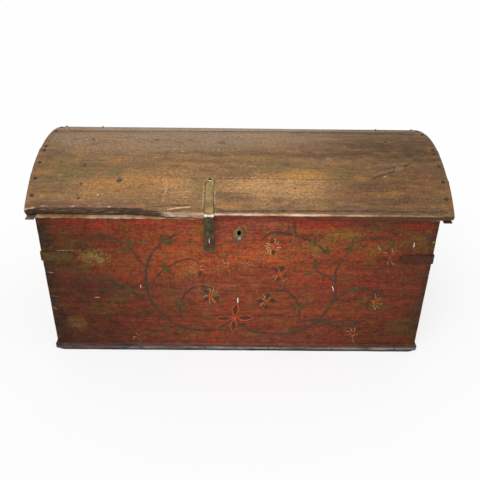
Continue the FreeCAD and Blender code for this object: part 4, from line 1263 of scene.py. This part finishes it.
# Brush strokes: thin closed ribbons of paint with a soft edge
STROKE_STEP = 0.003
STROKE_RISE = 0.00012
STROKE_EDGE_RISE = 0.00004
STROKE_ROOT = -0.0003
STROKE_SECTION = ((-1.25, 0.0), (-0.6, 0.85), (0.0, 1.0), (0.6, 0.85), (1.25, 0.0))
STROKE_LAYER = 0.00003
STROKE_LAYERS = 17
STROKE_UNEVEN = 0.4
STROKE_SHAKE = 0.0014


def smooth_path(spots, step):
    """Points a step apart on a smooth curve through the spots."""
    spots = [Vector(spot) for spot in spots]
    ends = [spots[0] * 2 - spots[1]] + spots + [spots[-1] * 2 - spots[-2]]
    path = []
    for a, b, c, d in zip(ends, ends[1:], ends[2:], ends[3:]):
        count = max(2, math.ceil((c - b).length / step))
        for number in range(count):
            t = number / count
            path.append(0.5 * (
                2 * b + (c - a) * t + (2 * a - 5 * b + 4 * c - d) * t ** 2 + (3 * b - a - 3 * c + d) * t ** 3
            ))
    return path + [spots[-1]]


def even_width(share):
    """Width of a stem along its length: thin at both ends."""
    return 0.45 + 0.55 * math.sin(math.pi * min(max(share, 0.06), 0.94)) ** 0.4


def leaf_width(share):
    """Width of a leaf or petal along its length."""
    return max(0.08, math.sin(math.pi * share ** 0.8)) ** 0.8


class Brush:
    """Gathers strokes on one surface into one mesh."""

    def __init__(self, spot, lift):
        self.spot = spot
        self.lift = lift
        self.points, self.colours, self.places, self.faces = [], [], [], []
        self.strokes = 0

    def stroke(self, pixels, width, colour, strength=1.0, profile=even_width):
        """One stroke through pixels of the photograph, its width in pixels."""
        spots = [self.spot(pixel) for pixel in pixels]
        x0, _ = self.spot(pixels[0])
        x1, _ = self.spot((pixels[0][0] + 1, pixels[0][1]))
        half = abs(x1 - x0) * width / 2
        path = [self.shaken(point) for point in smooth_path(spots, STROKE_STEP)]
        first = len(self.points)
        layer = STROKE_LAYER * (self.strokes % STROKE_LAYERS)
        self.strokes += 1
        for number, point in enumerate(path):
            before = path[max(number - 1, 0)]
            after = path[min(number + 1, len(path) - 1)]
            run = (after - before).normalized()
            side = Vector((-run.y, run.x))
            reach = half * profile(number / (len(path) - 1))
            reach *= 1 + STROKE_UNEVEN * smooth_noise(point.x * 90, point.y * 90, 4)
            thick = strength * (0.9 + STROKE_UNEVEN * smooth_noise(point.x * 40, point.y * 40, 9))
            for place, mask in STROKE_SECTION:
                rise = STROKE_RISE if mask else STROKE_EDGE_RISE
                self.add(point + side * reach * place, rise + layer, colour, mask * thick)
            self.add(point, STROKE_ROOT, colour, thick)
        self.faces += sweep_faces(len(path), len(STROKE_SECTION) + 1, first)

    def shaken(self, point):
        """The point as an unsteady hand would place it."""
        shake = [smooth_noise(point.x * 55, point.y * 55, at) for at in (1, 6)]
        return point + STROKE_SHAKE * Vector(shake)

    def add(self, spot, rise, colour, mask):
        """One vertex of the paint."""
        self.points.append(self.lift(spot, rise))
        self.colours.append((*colour[:3], mask))
        self.places.append((spot.x, spot.y, 0.0))

    def leaf(self, base, tip, width, colour, strength=1.0):
        """Leaf or petal from its base to its tip."""
        middle = ((base[0] + tip[0]) / 2, (base[1] + tip[1]) / 2)
        self.stroke((base, middle, tip), width, colour, strength, leaf_width)

    def piece(self, name, body, slot, material):
        """The painted mesh."""
        made = new_piece(name, body, material, self.points, self.faces)
        store(made, "paint", "FLOAT_COLOR", self.colours)
        store(made, "grain", "FLOAT_VECTOR", self.places)
        return made


def lift_from_front(spot, rise):
    """Point proud of the front face."""
    return spot.x, FRONT_FACE - rise, spot.y


def lift_from_lid(spot, rise):
    """Point proud of the lid's worn outside."""
    place = dome_yz(spot.y, along_lid(spot.x, spot.y) - rise)
    return spot.x, place.x, place.y


# Stems of the vine: width, then pixels
STEMS = (
    (2.6, ((229, 322), (218.6, 327.8), (204.8, 330), (188, 328.6), (174, 323), (162, 314), (152.8, 303.3),
           (147.4, 291), (145.9, 277.3), (147.4, 263.5), (152.8, 252.8), (160.4, 243.6), (171.2, 236.7),
           (182, 231.5))),
    (2.2, ((145, 266.6), (136, 255.8), (128.3, 246.7), (119, 241.3), (108.4, 237.2), (96, 235.9), (87, 238.2),
           (82.4, 243.6), (81.6, 248.2))),
    (1.9, ((151.3, 287.2), (155.9, 278), (162, 271.2), (172.7, 264.3), (183.4, 259.7), (193.4, 259.7),
           (198.7, 264.3))),
    (2.5, ((149.7, 299.5), (142, 298), (131.3, 291.8), (120.6, 285.7), (109.9, 280.3), (99.2, 279.6),
           (84, 280.3), (71.6, 285))),
    (1.9, ((181, 319.4), (179.6, 309.4), (181.9, 300.2), (188, 291), (197.2, 286.5), (206.4, 286.5),
           (214.8, 289.5))),
    (2.2, ((96, 290.3), (110, 288.8), (122, 288))),
    (2.3, ((238.4, 321.7), (245.3, 327), (253, 331), (268.3, 333.2), (288.2, 333.2), (303.5, 329.3),
           (317.3, 320.9), (325, 312.5), (331, 304.8), (335.6, 294), (336, 282), (335.6, 273), (338.7, 265),
           (344, 257.4))),
    (2.2, ((344, 257.4), (348.5, 250), (355, 243.5), (361.7, 240.5), (372.4, 238.2), (384.6, 237.5),
           (395.3, 242))),
    (2.2, ((328, 254.3), (315.7, 243.5), (306.5, 239.3), (290.5, 234.4), (280, 232.4), (272.9, 232.4),
           (265, 236.5), (260.6, 242.8))),
    (2.0, ((335.6, 283), (328, 277.3), (318, 271.2), (315, 263.5))),
    (2.1, ((328, 307.9), (335.6, 300.2), (346.4, 292.6), (360, 288.8), (372.4, 289.5), (380.8, 292.6),
           (381.6, 297.2))),
    (2.0, ((299.7, 319), (298.9, 306.4), (294.3, 297.2), (286.6, 291.8), (277.5, 290.3), (266.7, 291))),
    (2.0, ((322, 325), (337, 321.7), (352.5, 320.9), (360, 325.5))),
    (1.3, ((257.6, 316.3), (268, 315.4), (280, 314.4), (289.7, 313.3))),
    (1.4, ((137, 313.6), (145, 312.6), (153, 311.8))),
    (1.4, ((136, 316.5), (144, 316), (152, 315))),
)

# Leaves: pixels of base and tip, width
LEAVES = (
    ((128.3, 249), (129.4, 238.5), 4.6), ((131, 249.4), (117.5, 250.4), 3.4),
    ((160.5, 242), (161.8, 233.8), 3.2), ((163, 243.6), (174, 240.4), 3.6),
    ((163.5, 270), (164.2, 259.8), 4.4), ((164, 270.4), (173, 270.2), 3.6),
    ((131, 291.6), (125.6, 284), 5.0), ((132, 292.4), (121.6, 292.6), 3.2),
    ((178, 307), (175.2, 296.4), 4.2), ((181, 306), (191.4, 300.6), 3.2),
    ((169, 330.5), (163.6, 323.4), 4.2), ((316, 247), (314, 236.4), 3.8),
    ((345.6, 256.6), (356.3, 237), 3.6), ((316, 270), (314.4, 260.6), 4.4),
    ((313, 272.6), (302.4, 274.4), 3.4), ((346, 291.5), (359, 288), 4.6),
    ((296, 309), (290.6, 302.4), 4.4), ((299, 309.5), (307, 303), 3.6),
    ((318, 322), (326, 318.6), 5.0), ((325, 324.4), (340, 321.8), 3.6),
    ((301, 331), (288, 328.6), 3.4), ((330, 257), (326.5, 246.5), 3.0),
    ((174, 331), (184, 328), 3.0),
)

# Flowers: centre, size in pixels, petal directions, ray directions in degrees, strength
FLOWERS = (
    ((211, 295.6), 6.0, (140, 215, 335), (20, 60, 95, 180, 250, 290, 355), 1.0),
    ((196.4, 268.9), 5.4, (300, 320), (90, 120, 150, 185, 20, 345), 1.0),
    ((92.5, 260), 6.2, (60, 20, 200), (90, 118, 140, 45, 160), 0.55),
    ((100.7, 304.8), 5.6, (200, 330), (90, 150, 30), 0.4),
    ((139.8, 338.5), 5.2, (215, 325), (172, 8, 150, 110), 0.8),
    ((272.9, 246.7), 6.0, (98, 275), (30, 60, 140, 165, 190, 215, 240, 320, 345), 1.0),
    ((280.5, 274.2), 6.0, (140, 75, 340, 240), (25, 45, 105, 190, 215, 285, 310), 0.95),
    ((266.7, 301), 6.0, (178, 75, 0, 270), (45, 110, 145, 205, 300, 325, 235), 1.0),
    ((374, 301.8), 6.2, (190, 110), (20, 45, 70, 335, 300, 270), 0.8),
    ((390, 257.4), 5.8, (20, 340), (150, 125, 40, 60, 240, 285), 0.75),
    ((352.5, 335.5), 5.8, (200, 345), (15, 60, 95, 130, 165, 270), 0.85),
)


# Shares of a flower's size: base, tip and width of a petal and of a stroke of the heart
PETAL_SHARES = (0.55, 1.5, 0.95)
HEART_SHARES = (0.25, 0.55, 0.5)
HEART_DIRECTIONS = (25, 145, 265)
HEART_STRENGTH = 0.9
# A ray: turn in degrees and reach as a share of the size, then its width in pixels
RAY_CURVE = ((0, 0.55), (5, 0.95), (14, 1.4))
RAY_WIDTH = 0.8
RAY_STRENGTH = 0.75


def flower(brush, centre, size, petals, rays, strength):
    """Small flower: dark green petals, an orange heart and cream rays."""
    def at(direction, reach):
        angle = math.radians(direction)
        return centre[0] + math.cos(angle) * reach * size, centre[1] - math.sin(angle) * reach * size

    base, tip, width = PETAL_SHARES
    for direction in petals:
        brush.leaf(at(direction, base), at(direction, tip), size * width, PETAL_GREEN, strength)
    base, tip, width = HEART_SHARES
    for direction in HEART_DIRECTIONS:
        spots = at(direction + 180, base), at(direction, tip)
        brush.leaf(*spots, size * width, FLOWER_ORANGE, strength * HEART_STRENGTH)
    for direction in rays:
        ray = [at(direction + turn, reach) for turn, reach in RAY_CURVE]
        brush.stroke(ray, RAY_WIDTH, CREAM, strength * RAY_STRENGTH)


# The large flower: pixel of its heart, tips and widths of its petals
CENTRAL_HEART = (234.3, 318)
CENTRAL_PETALS = (((236.4, 302.6), 6.4), ((215, 318.4), 4.8), ((254.6, 317.4), 5.4), ((232.8, 332.4), 6.0))


def central_flower(brush):
    """The large four-petalled flower where the two stems meet."""
    heart = Vector(CENTRAL_HEART)
    for tip, width in CENTRAL_PETALS:
        tip = Vector(tip)
        run = tip - heart
        brush.leaf(heart + run * 0.22, heart + run * 0.95, width * 0.95, PETAL_GREEN, 1.0)
        across = Vector((-run.y, run.x)).normalized() * width * 0.5
        for side in (-1, 1):
            brush.stroke((heart, heart + run * 0.55 + across * side, tip), 1.05, PETAL_ORANGE, 0.85)
    for direction in (45, 165, 285):
        angle = math.radians(direction)
        brush.leaf(heart, heart + Vector((math.cos(angle), -math.sin(angle))) * 3.2, 2.6, PETAL_ORANGE, 0.9)


# Loose marks on the front, and painted highlights along the top edges of the corner straps: pixels, width in
# pixels, colour, strength
FRONT_MARKS = (
    (((237.6, 297.8), (237.8, 302.8)), 1.9, WHITE_MARK_AND_HIGHLIGHT, 1.0),
    (((414.6, 242.4), (414, 247)), 1.2, WHITE_MARK_AND_HIGHLIGHT, 0.9),
    (((140.4, 284.8), (140.6, 288)), 1.1, WHITE_MARK_AND_HIGHLIGHT, 0.9),
    (((332.4, 286.4), (333.6, 290.6)), 1.1, WHITE_MARK_AND_HIGHLIGHT, 0.9),
    (((94, 297.4), (100, 297)), 1.2, CREAM, 0.7),
    (((378.6, 246.6), (380.4, 250)), 1.2, CREAM, 0.8),
    (((432, 242.4), (436, 242.2)), 1.2, CREAM, 0.8),
    (((289, 220.6), (288.4, 226), (289.6, 231)), 3.0, STEM_GREEN, 0.95),
    (((294.6, 220.6), (294.4, 227), (296, 234)), 3.0, STEM_GREEN, 0.95),
    (((294, 234), (293, 246)), 4.5, tint(110, 84, 70), 0.6),
    (((60, 316), (110, 315.6), (160, 316.2), (228, 315.4)), 0.9, DARK_BROWN, 0.7),
    (((52, 287), (76, 286.4), (96, 285.6), (118, 284.8)), 2.0, DARK_BROWN, 0.6),
    (((56, 292), (80, 292.6), (104, 292)), 1.6, DARK_BROWN, 0.6),
    (((320, 330), (312, 331), (305, 332.6)), 1.6, FLOWER_ORANGE, 0.6),
    (((326, 326), (316, 329), (306, 332)), 1.3, FLOWER_ORANGE, 0.6),
    (((296, 323), (310, 320.4), (330, 320)), 4.2, STEM_GREEN, 1.0),
    (((312, 324.6), (322, 322), (334, 325.4)), 4.0, STEM_GREEN, 0.8),
    (((328, 325.4), (344, 326), (358, 324.6)), 4.4, STEM_GREEN, 1.0),
    (((298, 330), (312, 327.4), (324, 326)), 3.2, STEM_GREEN, 0.9),
    (((389, 321.6), (400, 320.6), (412, 321.6)), 2.8, LEAF_GREEN, 0.75),
    (((388, 329), (392, 334), (402, 336)), 2.6, STEM_GREEN, 0.65),
    # Painted highlight along the top edge of the left corner strap
    (((57, 250.8), (65, 250.6), (74, 250.9)), 0.9, CHIP_AND_HIGHLIGHT_GREY, 0.7),
    (((47, 271.6), (54, 273)), 1.1, CHIP_AND_HIGHLIGHT_GREY, 0.65),
    (((50.6, 295.8), (60, 296.6)), 0.9, CHIP_AND_HIGHLIGHT_GREY, 0.6),
    (((52.4, 306.6), (57, 308.6)), 1.1, CHIP_AND_HIGHLIGHT_GREY, 0.6),
    (((46, 236.6), (50, 239)), 1.2, CHIP_AND_HIGHLIGHT_GREY, 0.5),
    # Painted highlight along the top edge of the right corner strap
    (((404, 254.8), (416, 253.6), (432, 253.2)), 1.0, MOULDING_GREY, 0.7),
)

# A plain cream sprig in the middle of the front, under the hasp and keyhole
SPRIG = (
    (((214, 267), (225, 263.5), (236, 262.5), (247, 263.5), (258, 267)), 1.1),
    (((225, 263.5), (222, 259.5)), 1.5), (((236, 262.5), (236, 257.6)), 1.6),
    (((247, 263.5), (250, 259.5)), 1.5), (((230, 263), (227, 267.4)), 1.4), (((242, 263), (245, 267.4)), 1.4),
)
SPRIG_STRENGTH = 0.55
# How much broader than their line the stems and leaves are painted, because their edges wear
STEM_BROADER = 1.35
LEAF_BROADER = 1.55


def front_ornament():
    """The vine, its flowers and the loose marks on the front."""
    material = paint_material("front_ornament_paint", PANEL_LOOK)
    vine = Brush(front_spot, lift_from_front)
    for width, pixels in STEMS:
        vine.stroke(pixels, width * STEM_BROADER, STEM_GREEN)
    for base, tip, width in LEAVES:
        vine.leaf(base, tip, width * LEAF_BROADER, LEAF_GREEN)
    vine.piece("front_vine_paint", "box", "painted_boards", material)
    blossoms = Brush(front_spot, lift_from_front)
    for bloom in FLOWERS:
        flower(blossoms, *bloom)
    central_flower(blossoms)
    for pixels, width in SPRIG:
        blossoms.stroke(pixels, width, CREAM, SPRIG_STRENGTH)
    blossoms.piece("front_flower_paint", "box", "painted_boards", material)
    marks = Brush(front_spot, lift_from_front)
    for pixels, width, colour, strength in FRONT_MARKS:
        marks.stroke(pixels, width, colour, strength)
    marks.piece("front_wear_marks", "box", "painted_boards", material)


# Scratches, cracks, chips and spots on the lid: pixels, width in pixels, colour, strength
LID_MARKS = (
    (((162.4, 177), (165, 186), (164, 194), (162.6, 202)), 3.6, PALE_WOOD, 0.45),
    (((166, 178), (166.8, 186), (165, 195)), 1.8, PALE_WOOD, 0.6),
    (((116.8, 179.6), (119, 180.4), (121.6, 179.4)), 5.6, tint(72, 64, 60), 0.95),
    (((372, 179.4), (384, 174.6), (396, 169.4), (411, 163.6)), 2.8, SPLIT_DARK, 1.0),
    (((373, 175.6), (388, 171.4), (404, 167.6)), 7.0, LID_GREY, 0.55),
    (((376, 177.4), (386, 174.4), (395, 171)), 5.0, LID_DARK, 0.9),
    (((383.6, 177.2), (387, 176)), 1.3, PALE_WOOD, 0.8),
    (((293.6, 188), (295.6, 188.6)), 2.4, LID_DARK, 0.95),
    (((286, 192.6), (288, 193.8)), 1.8, LID_DARK, 0.7),
    (((266, 204.4), (268, 204.6)), 2.2, LID_DARK, 0.9),
    (((275, 202), (278.6, 201.4), (282, 201)), 2.6, PLUM, 0.9),
    (((155, 139.6), (159, 139.4)), 2.4, LID_DARK, 0.8),
    (((216, 142.4), (224, 142)), 1.2, LID_DARK, 0.7),
    (((97, 194.8), (98.4, 194.8)), 2.0, WHITE_MARK_AND_HIGHLIGHT, 0.95),
    (((98, 189.4), (99.4, 189.4)), 2.0, tint(126, 130, 128), 0.9),
    (((63.2, 172.4), (64.4, 172.6)), 1.8, LEAF_GREEN, 0.8),
    (((76.2, 185), (77.4, 185.2)), 2.0, LID_DARK, 0.9),
    (((80, 166.4), (81.2, 166.6)), 1.8, LID_DARK, 0.8),
    (((85.6, 171.4), (86.8, 171.6)), 1.8, LID_DARK, 0.8),
    (((80.6, 190.4), (81.8, 190.6)), 1.8, LID_DARK, 0.8),
    (((84, 176), (85.2, 176.2)), 2.0, LID_DARK, 0.9),
    (((76, 194.4), (77.2, 194.6)), 1.8, LID_DARK, 0.8),
    (((75.6, 198.4), (77, 198.6)), 2.2, LID_DARK, 0.9),
    (((121.2, 158.4), (122.4, 158.6)), 2.0, tint(140, 70, 30), 0.9),
    (((180.6, 151), (185.6, 151.2)), 1.6, tint(212, 174, 122), 0.85),
    (((62, 139.6), (66, 144)), 1.0, PALE_WOOD, 0.6),
    (((66, 146.4), (66.6, 152)), 1.6, LID_PALE_GREY, 0.6),
    (((70, 130.7), (150, 131.2), (240, 131.6), (330, 131.9), (420, 132.4)), 3.4, LID_DARK, 0.95),
    (((290, 132.6), (350, 133), (415, 133.8)), 6.0, LID_DARK, 0.95),
    (((29.8, 195.4), (34.2, 195.8)), 4.6, SPLIT_DARK, 0.8),
    (((351, 185), (364, 184.6), (378, 185)), 0.8, LID_DARK, 0.8),
    (((354, 188), (370, 187.8), (390, 188.4)), 0.8, LID_DARK, 0.8),
    (((360, 191), (376, 190.8), (392, 191.2)), 0.7, LID_DARK, 0.7),
    (((36, 204.6), (60, 203.6), (84, 204)), 1.0, PLUM, 0.8),
    (((108, 206.6), (110.6, 206.4)), 2.0, WHITE_MARK_AND_HIGHLIGHT, 0.9),
    (((167, 209.6), (176, 208), (184, 207.2), (190, 206.8)), 2.2, tint(214, 164, 116), 1.0),
    (((150, 206.8), (166, 206), (180, 205.2), (190, 205.4)), 1.2, SPLIT_DARK, 0.9),
    (((172, 211), (182, 210.4), (192, 209.6)), 1.6, LID_DARK, 0.8),
    (((203.4, 185), (203.2, 195), (203, 207)), 1.6, CHIP_AND_HIGHLIGHT_GREY, 0.75),
    (((203.6, 185), (204.8, 180.4), (209, 177.2), (213.4, 180.4), (214.8, 185)), 1.3, CHIP_AND_HIGHLIGHT_GREY, 0.75),
    (((214.8, 185), (214.6, 194), (214.6, 204)), 1.5, CHIP_AND_HIGHLIGHT_GREY, 0.7),
    (((216, 211.2), (300, 211), (380, 211.6), (448, 212.8)), 3.0, tint(66, 54, 50), 0.85),
)


def lid_marks():
    """Scratches and cracks on the lid."""
    brush = Brush(lid_spot, lift_from_lid)
    for pixels, width, colour, strength in LID_MARKS:
        brush.stroke(pixels, width, colour, strength)
    brush.piece("lid_wear_marks", "lid", "lid_wood", paint_material("lid_mark_paint", LID_LOOK))


MOULDING_STATION = 0.004
# How far the foot is worn away at the outer corners, and over what length
MOULDING_CORNER_LIFT = 0.007
MOULDING_CORNER = 0.022
# Points of the moulding's outline: steps up its back, down its front and over its foot, and in the round
MOULDING_STEPS = (0.006, 0.004, 0.003)
ROUND_POINTS = 6
# Size of the waves along its foot and of the dents in its front
FOOT_WAVE = 0.0003
DENT = 0.0005


def moulding_profile(height, depth):
    """Outline of the moulding in (outward, up), with a round top and a soft foot."""
    back, front, foot = MOULDING_STEPS
    outline = [Vector((0, up)) for up in spaced(0, height, back)]
    top = height - depth
    for number in range(1, ROUND_POINTS + 1):
        angle = math.pi / 2 * number / ROUND_POINTS
        outline.append(Vector((depth * math.sin(angle), top + depth * math.cos(angle))))
    outline += [Vector((depth, up)) for up in spaced(top, 0, front)[1:]]
    outline += [Vector((out, 0)) for out in spaced(depth, 0, foot)[1:-1]]
    return outline


def base_moulding(node, place, start, end, mitre_start, mitre_end, material):
    """One run of moulding: worn along its top and wavy along its foot."""
    depth = cad_moulding_depth()
    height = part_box(node)[1].z
    profile = moulding_profile(height, depth)
    points = []
    runs = spaced(start, end, MOULDING_STATION)
    corners = [corner for corner, mitre in ((start, mitre_start), (end, mitre_end)) if mitre]
    for run in runs:
        foot = FOOT_WAVE * (2 + smooth_noise(run * 6, 1, height) + smooth_noise(run * 40, 3, 5))
        dent = DENT * (1 + smooth_noise(run * 15, 8, 2))
        to_corner = min(abs(run - corner) for corner in corners)
        foot += MOULDING_CORNER_LIFT * max(0.0, 1 - to_corner / MOULDING_CORNER) ** 2
        for point in profile:
            share = point.y / height
            up = foot * (1 - share) + point.y * (1 - foot * (1 - share) / height) - dent * 0.6 * share
            out = max(0.0, point.x - dent * (1 if point.x > depth * 0.5 else 0))
            shift = 0.0
            if run == runs[0]:
                shift = mitre_start * out
            if run == runs[-1]:
                shift = mitre_end * out
            points.append(place(run + shift, out, up))
    faces = sweep_faces(len(runs), len(profile))
    piece = new_piece(node + "_wood", "box", material, points, faces)
    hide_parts(node)


def cad_moulding_depth():
    """How far the front moulding stands out of the front face."""
    return FRONT_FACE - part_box("base_moulding_front")[0].y


def base_mouldings():
    """Front run and two end returns."""
    material = moulding_material()
    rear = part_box("base_moulding_right")[1].y
    base_moulding(
        "base_moulding_front", lambda run, out, up: (run, FRONT_FACE - out, up),
        BOX_LEFT, BOX_RIGHT, -1, 1, material)
    base_moulding(
        "base_moulding_right", lambda run, out, up: (BOX_RIGHT + out, run, up),
        FRONT_FACE, rear, -1, 0, material)
    base_moulding(
        "base_moulding_left", lambda run, out, up: (BOX_LEFT - out, run, up),
        FRONT_FACE, rear, -1, 0, material)


# Finishes of the nodes that keep their own solids: how much their edges are softened
WELD = 0.00001
BEVEL_ANGLE = math.radians(35)
BOARD_SOFT = 0.0012
END_SOFT = 0.0011
LID_END_SOFT = 0.003
TILL_SOFT = 0.0008
LEAF_SOFT = 0.0007
LID_LEAF_SOFT = 0.0006
IRON_SOFT = 0.0005
NAIL_SOFT = 0.0004


def dress(nodes, material, soften, segments=2):
    """Give nodes a material and softened edges."""
    for name in nodes:
        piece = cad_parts[name]
        piece.data.materials.clear()
        piece.data.materials.append(material)
        weld = piece.modifiers.new("weld", "WELD")
        weld.merge_threshold = WELD
        bevel = piece.modifiers.new("soften", "BEVEL")
        bevel.width = soften
        bevel.segments = segments
        bevel.limit_method = "ANGLE"
        bevel.angle_limit = BEVEL_ANGLE
        piece.modifiers.new("normals", "WEIGHTED_NORMAL")


def dress_nodes():
    """Materials and softened edges of all nodes that are shown as they are."""
    dress(("front_upper_board", "front_lower_board"), front_board_material(), BOARD_SOFT)
    ends = [side + "_end_" + place + "_board" for side in ("left", "right") for place in ("upper", "lower")]
    dress(ends, end_board_material(), END_SOFT)
    dress(("lid_end_left", "lid_end_right"), lid_end_material(), LID_END_SOFT, 3)
    back = ["back_" + place + "_board" for place in ("upper", "lower")]
    back += ["bottom_" + place + "_board" for place in ("front", "middle", "rear")]
    dress(back, back_board_material(), BOARD_SOFT)
    dress(("till_bottom", "till_side"), till_material(), TILL_SOFT)
    dress(("corner_strap_left", "corner_strap_right", "corner_strap_nails"), strap_material(), LEAF_SOFT)
    dress(("keyhole_escutcheon", "escutcheon_pins"), escutcheon_material(), NAIL_SOFT)
    dress(("hasp_leaf",), hasp_material("hasp_leaf_iron", "hasp_leaf", HASP_LEAF), LEAF_SOFT)
    dress(("hasp_lid_leaf",), hasp_material("hasp_lid_iron", "hasp_lid_leaf", HASP_LID_LEAF), LID_LEAF_SOFT)
    dress(("hasp_nails",), hasp_nail_material(), NAIL_SOFT)
    # Pin and staple in near-white iron, a painted highlight
    dress(("hasp_pin", "hasp_staple"), iron_material("highlight_iron", HIGHLIGHT_IRON), NAIL_SOFT)
    dress(("lid_iron_nails",), iron_material("clinched_nail_iron", CLINCHED_NAIL, WAXED_METAL), NAIL_SOFT)
    dark_iron = iron_material("dark_iron", DARK_IRON)
    dress(("bottom_nails", "base_moulding_nails", "lock_nails", "hinge_back_nails"), dark_iron, NAIL_SOFT)
    dress(("lid_nails",), iron_material("lid_nail_iron", LID_NAIL, 0.0), NAIL_SOFT)
    ironwork = ["lock_" + part for part in ("plate", "cover", "bolt", "bolt_guides", "spring", "catch")]
    for side in ("left", "right"):
        ironwork += ["hinge_" + part + side for part in ("back_strap_", "lid_strap_", "pin_")]
        ironwork += ["handle_" + part + side for part in ("staples_", "bail_")]
    dress(ironwork, dark_iron, IRON_SOFT)


# Stage, light and camera
FLOOR_HALF = 30.0
FLOOR_WHITENESS = 0.68
WORLD_LIGHT = 0.62
KEY_LIGHT = 1.75
KEY_SPREAD = math.radians(50)
KEY_DIRECTION = Vector((0.22, 0.75, -0.85))


def floor_material():
    """White floor that looks part lit, part plain white, so that it keeps its shadow."""
    shader = Shader("floor_white")
    shader.surface.inputs["Base Color"].default_value = (0.96, 0.96, 0.96, 1)
    shader.surface.inputs["Roughness"].default_value = 1.0
    shader.surface.inputs["Specular IOR Level"].default_value = 0.0
    glow = shader.add("ShaderNodeEmission")
    glow.inputs["Strength"].default_value = 1.0
    seen = shader.add("ShaderNodeLightPath").outputs["Is Camera Ray"]
    blend = shader.add("ShaderNodeMixShader")
    shader.put(blend.inputs[0], shader.calc("MULTIPLY", seen, FLOOR_WHITENESS))
    shader.put(blend.inputs[1], shader.surface.outputs[0])
    shader.put(blend.inputs[2], glow.outputs[0])
    shader.put(shader.output.inputs["Surface"], blend.outputs[0])
    return shader.material


def stage():
    """Pale floor, soft light and the camera."""
    floor = bpy.data.meshes.new("floor")
    corners = [(x * FLOOR_HALF, y * FLOOR_HALF, 0) for x, y in ((-1, -1), (1, -1), (1, 1), (-1, 1))]
    floor.from_pydata(corners, [], [(0, 1, 2, 3)])
    ground = bpy.data.objects.new("floor", floor)
    bpy.context.scene.collection.objects.link(ground)
    floor.materials.append(floor_material())

    key = bpy.data.lights.new("key", "SUN")
    key.energy = KEY_LIGHT
    key.angle = KEY_SPREAD
    lamp = bpy.data.objects.new("key", key)
    lamp.rotation_euler = KEY_DIRECTION.to_track_quat("-Z", "Y").to_euler()
    bpy.context.scene.collection.objects.link(lamp)

    world = bpy.data.worlds.new("studio")
    world.use_nodes = True
    nodes, links = world.node_tree.nodes, world.node_tree.links
    nodes.clear()
    path = nodes.new("ShaderNodeLightPath")
    seen = nodes.new("ShaderNodeMath")
    seen.operation = "MAXIMUM"
    links.new(path.outputs["Is Camera Ray"], seen.inputs[0])
    links.new(path.outputs["Is Transmission Ray"], seen.inputs[1])
    level = nodes.new("ShaderNodeMapRange")
    links.new(seen.outputs[0], level.inputs["Value"])
    level.inputs["To Min"].default_value = WORLD_LIGHT
    level.inputs["To Max"].default_value = 1.0
    sky = nodes.new("ShaderNodeBackground")
    sky.inputs["Color"].default_value = (1, 1, 1, 1)
    links.new(level.outputs[0], sky.inputs["Strength"])
    output = nodes.new("ShaderNodeOutputWorld")
    links.new(sky.outputs[0], output.inputs["Surface"])
    bpy.context.scene.world = world

    camera = bpy.data.cameras.new("camera")
    camera.lens = CAMERA_LENS
    camera.sensor_width = CAMERA_SENSOR
    eye = bpy.data.objects.new("camera", camera)
    turn = Matrix((CAMERA_RIGHT, CAMERA_UP, -CAMERA_FORWARD)).transposed()
    eye.matrix_world = Matrix.Translation(CAMERA_PLACE) @ turn.to_4x4()
    bpy.context.scene.collection.objects.link(eye)
    bpy.context.scene.camera = eye
    bpy.context.scene.view_settings.view_transform = "Standard"


lid_planks()
base_mouldings()
dress_nodes()
front_ornament()
lid_marks()
stage()

bpy.context.view_layer.update()
